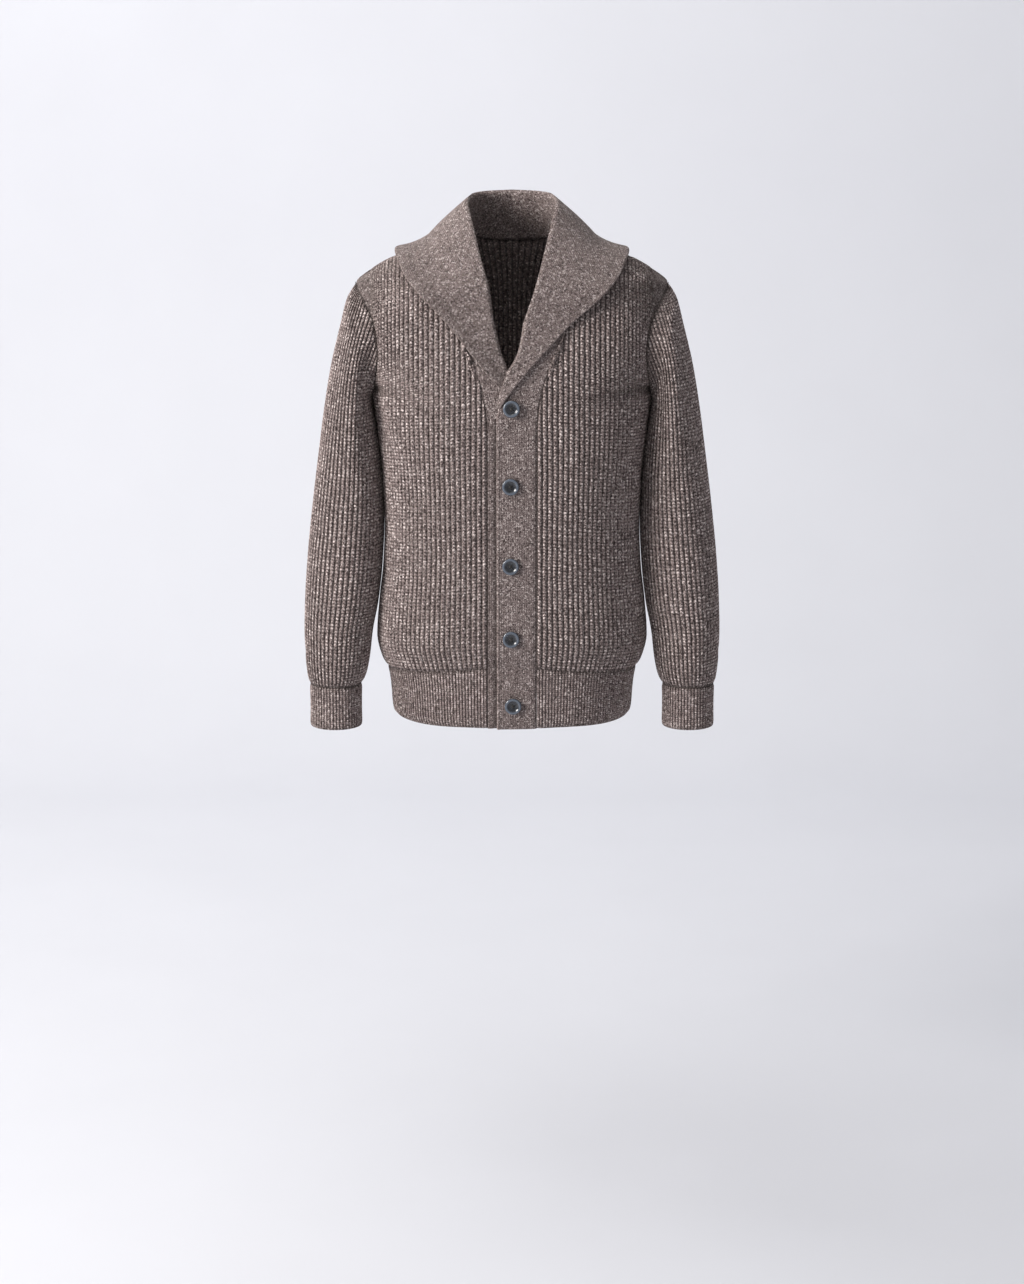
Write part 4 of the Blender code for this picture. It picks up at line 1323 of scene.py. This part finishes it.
class CARDIGAN_OT_hem(bpy.types.Operator):
    """Knit the rib hem"""

    bl_idname = "cardigan.hem"
    bl_label = "Hem"

    def execute(self, context):
        """Builds the hem below each panel of the body."""
        settings = context.scene.cardigan_knit
        grids = make_grids()
        hem = grids["hem"]
        half = grids["hem_half"]
        back = whole_back(half)
        for name, grid, mirror, ribs, node, cut in (
            ("hem_left_knit", hem, False, HEM_FRONT_RIBS, "hem_left", HEM_FRONT_CUT),
            ("hem_right_knit", hem, True, HEM_FRONT_RIBS, "hem_right", HEM_FRONT_CUT),
            ("hem_back_knit", back, False, 2 * HEM_BACK_RIBS, "hem_back", HEM_BACK_CUT),
        ):
            if mirror:
                grid = mirrored(grid)
            one, other = edge_distances(grid)
            up = grid[..., 2] - HEM_BOTTOM
            down = grid[-1:, :, 2] - grid[..., 2]
            relief = fade_in(one, 0.003) * fade_in(other, 0.003) * fade_in(down, 0.005)
            relief *= fade_in(up, 0.006)
            form = outward(grid)
            dips = seam_dip(down) + seam_dip(one) + seam_dip(other)
            wave = 0.0008 * np.sin(grid[..., 0] * 55 + 1.3) * np.exp(-up / 0.02)
            grid = grid + form * (dips + wave)[..., None]
            normals = grid_normals(grid)
            share = turned_share(up)[..., None]
            outer, inner = wall_sides(grid, normals, share)
            counts = np.linspace(0, ribs, grid.shape[1])
            mesh = cloth_mesh(
                name, outer, inner, counts, courses(grid, FINE_STITCH), relief, every=1
            )
            knitted(
                name, mesh, node, "fine_rib_knit", fine_rib(), settings.fine_rib_depth,
                settings.rib_waver, cut,
            )
        return {"FINISHED"}


class CARDIGAN_OT_collar(bpy.types.Operator):
    """Knit the shawl collar with its two front bands"""

    bl_idname = "cardigan.collar"
    bl_label = "Collar and bands"

    def execute(self, context):
        """Builds the collar and both bands as one strip of cloth, as they are knitted."""
        grid = collar_grid(make_grids()["seam"])
        mesh = collar_shell("collar_and_bands", grid)
        mesh.materials.append(collar_knit())
        piece = dressed(
            "collar_and_bands", mesh, ["collar", "band_over", "band_under"], "collar_knit"
        )
        return {"FINISHED"}


def lathe(name, profile, steps):
    """Closed turned mesh of a half section given as radius and rise."""
    turn = np.linspace(0, 2 * math.pi, steps, endpoint=False)
    points = [(0.0, 0.0, profile[0][1])]
    for radius, rise in profile[1:-1]:
        points += [(radius * math.cos(a), radius * math.sin(a), rise) for a in turn]
    points.append((0.0, 0.0, profile[-1][1]))
    faces = [(0, 1 + at, 1 + (at + 1) % steps) for at in range(steps)]
    for ring in range(len(profile) - 3):
        low = 1 + ring * steps
        for at in range(steps):
            beside = (at + 1) % steps
            faces.append((low + at, low + steps + at, low + steps + beside, low + beside))
    low = 1 + (len(profile) - 3) * steps
    last = len(points) - 1
    faces += [(last, low + (at + 1) % steps, low + at) for at in range(steps)]
    mesh = bpy.data.meshes.new(name)
    mesh.from_pydata(points, [], faces)
    return mesh


BUTTON_PROFILE = (
    # radius, rise
    (0.0, 0.0021),
    (0.0030, 0.0021),
    (0.0056, 0.0022),
    (0.0068, 0.0026),
    (0.0076, 0.0034),
    (0.0084, 0.0040),
    (0.0094, 0.0042),
    (0.0104, 0.0040),
    (0.0111, 0.0034),
    (BUTTON_RADIUS, 0.0026),
    (0.0113, 0.0015),
    (0.0104, 0.0007),
    (0.0085, 0.0001),
    (0.0, 0.0),
)


# Painted highlight: how much of the paler colour is painted in at each distance from a button's
# middle.
HIGHLIGHT_RING_RADII = (0.0072, 0.0088, 0.0104, 0.0113)
HIGHLIGHT_RING_SHARES = (0.0, 1.0, 0.9, 0.2)


def button_resin():
    """Cast resin: near black with a faint cloudy grain, a clear shine and a paler painted highlight
    ring near its edge.
    """
    existing = bpy.data.materials.get("polished cast resin")
    if existing:
        return existing
    material, tree, output = new_material("polished cast resin")
    coords = tree.nodes.new("ShaderNodeTexCoord")
    cloud = add_node(
        tree, "ShaderNodeTexNoise", links={"Vector": coords.outputs["Object"]},
        values={"Scale": 320.0, "Detail": 5.0, "Distortion": 1.2},
    )
    ramp = add_node(tree, "ShaderNodeValToRGB", links={"Fac": cloud.outputs[0]})
    ramp.color_ramp.elements[0].position = 0.35
    ramp.color_ramp.elements[0].color = linear("141518")
    ramp.color_ramp.elements[1].position = 0.75
    ramp.color_ramp.elements[1].color = linear("30333a")
    # Painted highlight: a paler ring mixed into the colour near the edge.
    rim_highlight = add_node(
        tree, "ShaderNodeAttribute", {"attribute_name": "rim_highlight", "attribute_type": "GEOMETRY"}
    )
    ring_painted_highlight = add_node(
        tree, "ShaderNodeMix", {"data_type": "RGBA"},
        {0: rim_highlight.outputs["Fac"], 6: ramp.outputs[0]}, {7: linear("59616d")},
    )
    gloss = add_node(
        tree, "ShaderNodeMapRange", links={"Value": cloud.outputs[0]},
        values={"To Min": 0.16, "To Max": 0.34},
    )
    scratches = add_node(
        tree, "ShaderNodeTexNoise", links={"Vector": coords.outputs["Object"]},
        values={"Scale": 1800.0, "Detail": 2.0},
    )
    bump = add_node(
        tree, "ShaderNodeBump", links={"Height": scratches.outputs[0]},
        values={"Strength": 0.25, "Distance": 0.00008},
    )
    shader = add_node(
        tree, "ShaderNodeBsdfPrincipled",
        links={
            "Base Color": ring_painted_highlight.outputs[2],
            "Roughness": gloss.outputs[0],
            "Normal": bump.outputs[0],
        },
        values={"IOR": 1.54, "Coat Weight": 0.4, "Coat Roughness": 0.08},
    )
    tree.links.new(shader.outputs[0], output.inputs[0])
    return material


def sewing_thread(name, code):
    """Twisted polyester thread: a dull strand with fine slanting plies, and painted shade between
    the plies.
    """
    existing = bpy.data.materials.get(name)
    if existing:
        return existing
    material, tree, output = new_material(name)
    coords = tree.nodes.new("ShaderNodeTexCoord")
    ply = add_node(
        tree, "ShaderNodeTexWave", {"bands_direction": "DIAGONAL"},
        {"Vector": coords.outputs["Object"]}, {"Scale": 900.0, "Distortion": 2.0},
    )
    # Painted shade: the colour is darkened to 0.55 of the ground in the low parts between the
    # plies.
    ramp = add_node(tree, "ShaderNodeValToRGB", links={"Fac": ply.outputs[0]})
    ground = linear(code)
    ramp.color_ramp.elements[0].color = (*[v * 0.55 for v in ground[:3]], 1)
    ramp.color_ramp.elements[1].color = ground
    bump = add_node(
        tree, "ShaderNodeBump", links={"Height": ply.outputs[0]},
        values={"Strength": 0.8, "Distance": 0.0002},
    )
    shader = add_node(
        tree, "ShaderNodeBsdfPrincipled",
        links={"Base Color": ramp.outputs[0], "Normal": bump.outputs[0]},
        values={"Roughness": 0.75, "Sheen Weight": 0.2},
    )
    tree.links.new(shader.outputs[0], output.inputs[0])
    return material


def strand(mesh, points, radius, sides=8):
    """Adds a closed tube of thread along a line of points to a bmesh."""
    points = [Vector(point) for point in points]
    rings = []
    for at, point in enumerate(points):
        ahead = points[min(at + 1, len(points) - 1)] - points[max(at - 1, 0)]
        turn = ahead.to_track_quat("Z", "Y")
        ring = []
        for side in range(sides):
            angle = 2 * math.pi * side / sides
            offset = Vector((math.cos(angle) * radius, math.sin(angle) * radius, 0))
            ring.append(mesh.verts.new(point + turn @ offset))
        rings.append(ring)
    for low, high in zip(rings, rings[1:]):
        for side in range(sides):
            beside = (side + 1) % sides
            mesh.faces.new((low[side], low[beside], high[beside], high[side]))
    mesh.faces.new(rings[0][::-1])
    mesh.faces.new(rings[-1])


def thread_line(start, end, lift, depth):
    """Points of one pass of thread: up out of a hole, over the middle and down the other."""
    start = np.array(start)
    end = np.array(end)
    share = np.linspace(0, 1, 9)
    height = depth + lift * np.sin(share * math.pi) ** 0.5
    line = start + (end - start) * share[:, None]
    return [(x, y, rise) for (x, y), rise in zip(line, height)]


class CARDIGAN_OT_buttons(bpy.types.Operator):
    """Turn the buttons and sew them on"""

    bl_idname = "cardigan.buttons"
    bl_label = "Buttons"

    def execute(self, context):
        """Builds each button with its four holes and its crossed sewing thread."""
        settings = context.scene.cardigan_button
        blank = placed("button_blank", lathe("button_blank", BUTTON_PROFILE, 64))
        drill_mesh = bmesh.new()
        for x in (-1, 1):
            for y in (-1, 1):
                place = Matrix.Translation(
                    (x * settings.hole_offset, y * settings.hole_offset, 0.002)
                )
                bmesh.ops.create_cone(
                    drill_mesh, cap_ends=True, segments=20, radius1=settings.hole_radius,
                    radius2=settings.hole_radius, depth=0.008, matrix=place,
                )
        drill_data = bpy.data.meshes.new("drills")
        drill_mesh.to_mesh(drill_data)
        drill_mesh.free()
        drills = placed("drills", drill_data)
        cut = blank.modifiers.new("holes", "BOOLEAN")
        cut.operation = "DIFFERENCE"
        cut.object = drills
        cut.solver = "EXACT"
        depsgraph = context.evaluated_depsgraph_get()
        drilled = bpy.data.meshes.new_from_object(blank.evaluated_get(depsgraph))
        bpy.data.objects.remove(blank)
        bpy.data.objects.remove(drills)
        # Painted highlight ring, stored as an attribute by distance from the middle.
        radii = [math.hypot(*vertex.co[:2]) for vertex in drilled.vertices]
        rim_highlight = drilled.attributes.new("rim_highlight", "FLOAT", "POINT")
        rim_highlight.data.foreach_set("value", np.interp(radii, HIGHLIGHT_RING_RADII, HIGHLIGHT_RING_SHARES))
        sewing = bmesh.new()
        reach = settings.hole_offset
        for start, end, lift in (
            ((-reach, -reach), (reach, reach), 0.0011),
            ((-reach, reach), (reach, -reach), 0.0019),
        ):
            for aside in (-0.00035, 0.00035):
                shift = np.array((aside, -aside * np.sign(end[1])))
                strand(
                    sewing, thread_line(start + shift, end + shift, lift, 0.0014),
                    settings.thread_radius,
                )
        thread = bpy.data.meshes.new("button_thread")
        sewing.to_mesh(thread)
        sewing.free()
        yarn = sewing_thread("black twisted thread", "2a2624")
        for number, (place, out) in enumerate(button_places(), start=1):
            turn = Vector(out).to_track_quat("Z", "Y").to_matrix().to_4x4()
            spin = Matrix.Rotation(0.35 * math.sin(number * 2.3), 4, "Z")
            where = Matrix.Translation(place) @ turn @ spin
            for name, mesh, material in (
                (f"button_{number}_resin", drilled, button_resin()),
                (f"button_{number}_thread", thread, yarn),
            ):
                copy = mesh.copy()
                copy.transform(where)
                copy.materials.clear()
                copy.materials.append(material)
                copy.shade_smooth()
                copy.set_sharp_from_angle(angle=math.radians(42))
                nodes = [f"button_{number}"] if name.endswith("resin") else []
                dressed(name, copy, nodes, "button_resin")
        return {"FINISHED"}


def stitch_tree():
    """Lays small plump stitches end to end along lines, each a little uneven."""
    tree = tree_with(
        "seam stitches",
        (
            ("Spacing", "NodeSocketFloat"),
            ("Length", "NodeSocketFloat"),
            ("Thickness", "NodeSocketFloat"),
            ("Seed", "NodeSocketInt"),
            ("Material", "NodeSocketMaterial"),
        ),
    )
    given = tree.nodes.new("NodeGroupInput")
    lines = add_node(tree, "GeometryNodeMeshToCurve", links={"Mesh": given.outputs["Geometry"]})
    spots = add_node(
        tree, "GeometryNodeCurveToPoints", {"mode": "LENGTH"},
        {"Curve": lines.outputs[0], "Length": given.outputs["Spacing"]},
    )
    ball = add_node(tree, "GeometryNodeMeshIcoSphere", values={"Radius": 0.5, "Subdivisions": 2})
    size = add_node(
        tree, "ShaderNodeCombineXYZ",
        links={
            "X": given.outputs["Thickness"], "Y": given.outputs["Thickness"],
            "Z": given.outputs["Length"],
        },
    )
    facing = add_node(
        tree, "FunctionNodeAlignRotationToVector", {"axis": "Z"},
        {"Vector": spots.outputs["Tangent"]},
    )
    sway = add_node(
        tree, "FunctionNodeRandomValue", {"data_type": "FLOAT_VECTOR"},
        {"Seed": given.outputs["Seed"]}, {0: (-0.35, -0.35, 0), 1: (0.35, 0.35, 0)},
    )
    stitches = add_node(
        tree, "GeometryNodeInstanceOnPoints",
        links={
            "Points": spots.outputs["Points"], "Instance": ball.outputs[0],
            "Rotation": facing.outputs[0], "Scale": size.outputs[0],
        },
    )
    tilted = add_node(
        tree, "GeometryNodeRotateInstances",
        links={"Instances": stitches.outputs[0], "Rotation": sway.outputs[0]},
    )
    finish_tree(tree, tilted.outputs[0], given.outputs["Material"])
    return tree


class CARDIGAN_OT_stitching(bpy.types.Operator):
    """Sew the seams"""

    bl_idname = "cardigan.stitching"
    bl_label = "Seam stitching"

    def execute(self, context):
        """Builds the stitches that lie in the grooves of the seams."""
        settings = context.scene.cardigan_stitch
        grids = make_grids()
        front = grids["front"]
        underarm = FRONT_STOPS[0][1]
        hem_front = grids["hem"][-1]
        hem_back = grids["hem_half"][-1]
        lines = [front[: underarm + 1, 0], front[underarm:, 0], hem_front, hem_back]
        lines = [line - outward(line) * 0.0007 for line in lines]
        arm = grids["armhole"]
        lines.append(np.concatenate([arm, arm[:1]]) - np.array((0.0002, 0, 0)))
        ring = sleeve_ring(CUFF_RINGS[0], 200)
        middle = ring.mean(axis=0)
        ring = middle + (ring - middle) * 0.978
        lines.append(np.concatenate([ring, ring[:1]]))
        points = []
        edges = []
        for flip in (1, -1):
            for line in lines:
                start = len(points)
                points += (line * np.array((flip, 1, 1))).tolist()
                edges += [(at, at + 1) for at in range(start, len(points) - 1)]
        mesh = bpy.data.meshes.new("seam_lines")
        mesh.from_pydata(points, edges, [])
        base = placed("seam_lines", mesh)
        sewn = run_tree(
            base,
            stitch_tree(),
            {
                "Spacing": settings.spacing,
                "Length": settings.length,
                "Thickness": 0.0011,
                "Seed": settings.seed,
                "Material": sewing_thread("taupe wool sewing yarn", "5f504a"),
            },
        )
        bpy.data.objects.remove(base)
        sewn.shade_smooth()
        dressed("seam_stitching", sewn, [], "body_rib_knit")
        return {"FINISHED"}


class CARDIGAN_OT_stage(bpy.types.Operator):
    """Set up the floor, the lights and the camera"""

    bl_idname = "cardigan.stage"
    bl_label = "Stage"

    def execute(self, context):
        """Builds a pale floor that curves up into a backdrop, soft lights and the camera."""
        scene = context.scene
        reach = np.linspace(0, math.pi / 2, 24)
        section = [(-6.0, FLOOR), (2.0, FLOOR)]
        section += [(2.0 + 1.2 * math.sin(a), FLOOR + 1.2 * (1 - math.cos(a))) for a in reach]
        section.append((3.2, 4.5))
        points = [(x, y, z) for x in (-7.0, 7.0) for y, z in section]
        count = len(section)
        faces = [(at, count + at, count + at + 1, at + 1) for at in range(count - 1)]
        mesh = bpy.data.meshes.new("backdrop")
        mesh.from_pydata(points, [], faces)
        mesh.shade_smooth()
        mesh.materials.append(paper())
        backdrop = placed("backdrop", mesh)
        world = bpy.data.worlds.new("soft room light")
        world.use_nodes = True
        sky = world.node_tree.nodes["Background"]
        sky.inputs[0].default_value = linear("f1f2f5")
        sky.inputs[1].default_value = 0.38
        scene.world = world
        scene.view_settings.view_transform = "Standard"
        middle = Vector((0, 0, -0.3))
        for name, place, size, power, colour in (
            ("window", (-2.9, -1.9, 0.9), 1.4, 160.0, "fffbf8"),
            ("fill", (2.6, -2.4, 0.4), 2.2, 5.0, "f2f4ff"),
            ("top", (-0.5, -0.6, 2.4), 1.4, 14.0, "ffffff"),
            ("backdrop_wash", (-1.5, 0.6, 2.6), 2.6, 52.0, "ffffff"),
        ):
            data = bpy.data.lights.new(name, "AREA")
            data.size = size
            data.energy = power
            data.color = linear(colour)[:3]
            light = bpy.data.objects.new(name, data)
            scene.collection.objects.link(light)
            light.location = place
            aim = middle if name != "backdrop_wash" else Vector((0.2, 3.2, -0.2))
            light.rotation_euler = (aim - light.location).to_track_quat("-Z", "Y").to_euler()
        data = bpy.data.cameras.new("camera")
        data.lens = 80
        data.sensor_width = 36
        camera = bpy.data.objects.new("camera", data)
        camera.location = (0, -3.9, 0.305)
        camera.rotation_euler = (math.radians(90 - 12.65), 0, 0)
        scene.collection.objects.link(camera)
        scene.camera = camera
        return {"FINISHED"}


def paper():
    """Matt white backdrop paper with a barely visible grain, and painted shade that darkens it
    towards the front of the floor.
    """
    material, tree, output = new_material("matt backdrop paper")
    coords = tree.nodes.new("ShaderNodeTexCoord")
    grain = add_node(
        tree, "ShaderNodeTexNoise", links={"Vector": coords.outputs["Object"]},
        values={"Scale": 3.0, "Detail": 2.0},
    )
    ramp = add_node(tree, "ShaderNodeValToRGB", links={"Fac": grain.outputs[0]})
    ramp.color_ramp.elements[0].color = linear("e2e3e8")
    ramp.color_ramp.elements[1].color = linear("e7e8ed")
    # Painted shade: the paper is darker towards the front of the floor, down to 0.88.
    place = add_node(tree, "ShaderNodeSeparateXYZ", links={0: coords.outputs["Object"]})
    level = add_node(
        tree, "ShaderNodeMapRange", {"interpolation_type": "SMOOTHSTEP"},
        {"Value": place.outputs[1]},
        {"From Min": -0.4, "From Max": 2.0, "To Min": 0.88, "To Max": 1.0},
    )
    toned = add_node(
        tree, "ShaderNodeVectorMath", {"operation": "SCALE"},
        {0: ramp.outputs[0], "Scale": level.outputs[0]},
    )
    shader = add_node(
        tree, "ShaderNodeBsdfPrincipled", links={"Base Color": toned.outputs[0]},
        values={"Roughness": 0.9, "Specular IOR Level": 0.1},
    )
    tree.links.new(shader.outputs[0], output.inputs[0])
    return material


class CARDIGAN_PT_panel(bpy.types.Panel):
    """The cardigan's settings and the steps that build it"""

    bl_idname = "CARDIGAN_PT_panel"
    bl_label = "Shawl collar cardigan"
    bl_space_type = "VIEW_3D"
    bl_region_type = "UI"
    bl_category = "Cardigan"

    def draw(self, context):
        """Lists the settings and the operators."""
        layout = self.layout
        for group in SETTINGS:
            settings = getattr(context.scene, group)
            for name in settings.__annotations__:
                layout.prop(settings, name)
        for operator in OPERATORS:
            layout.operator(operator.bl_idname)


SETTINGS = {
    "cardigan_knit": CardiganKnitSettings,
    "cardigan_yarn": CardiganYarnSettings,
    "cardigan_button": CardiganButtonSettings,
    "cardigan_stitch": CardiganStitchSettings,
}
OPERATORS = (
    CARDIGAN_OT_body,
    CARDIGAN_OT_sleeves,
    CARDIGAN_OT_hem,
    CARDIGAN_OT_collar,
    CARDIGAN_OT_buttons,
    CARDIGAN_OT_stitching,
    CARDIGAN_OT_stage,
)


def register():
    """Registers the settings, the operators and the panel."""
    for kind in (*SETTINGS.values(), *OPERATORS, CARDIGAN_PT_panel):
        bpy.utils.register_class(kind)
    for name, kind in SETTINGS.items():
        setattr(bpy.types.Scene, name, PointerProperty(type=kind))


def unregister():
    """Removes what register added."""
    for name in SETTINGS:
        delattr(bpy.types.Scene, name)
    for kind in (CARDIGAN_PT_panel, *OPERATORS[::-1], *SETTINGS.values()):
        bpy.utils.unregister_class(kind)


def main():
    """Builds the whole scene."""
    register()
    for operator in OPERATORS:
        family, step = operator.bl_idname.split(".")
        getattr(getattr(bpy.ops, family), step)()


if __name__ == "__main__":
    main()
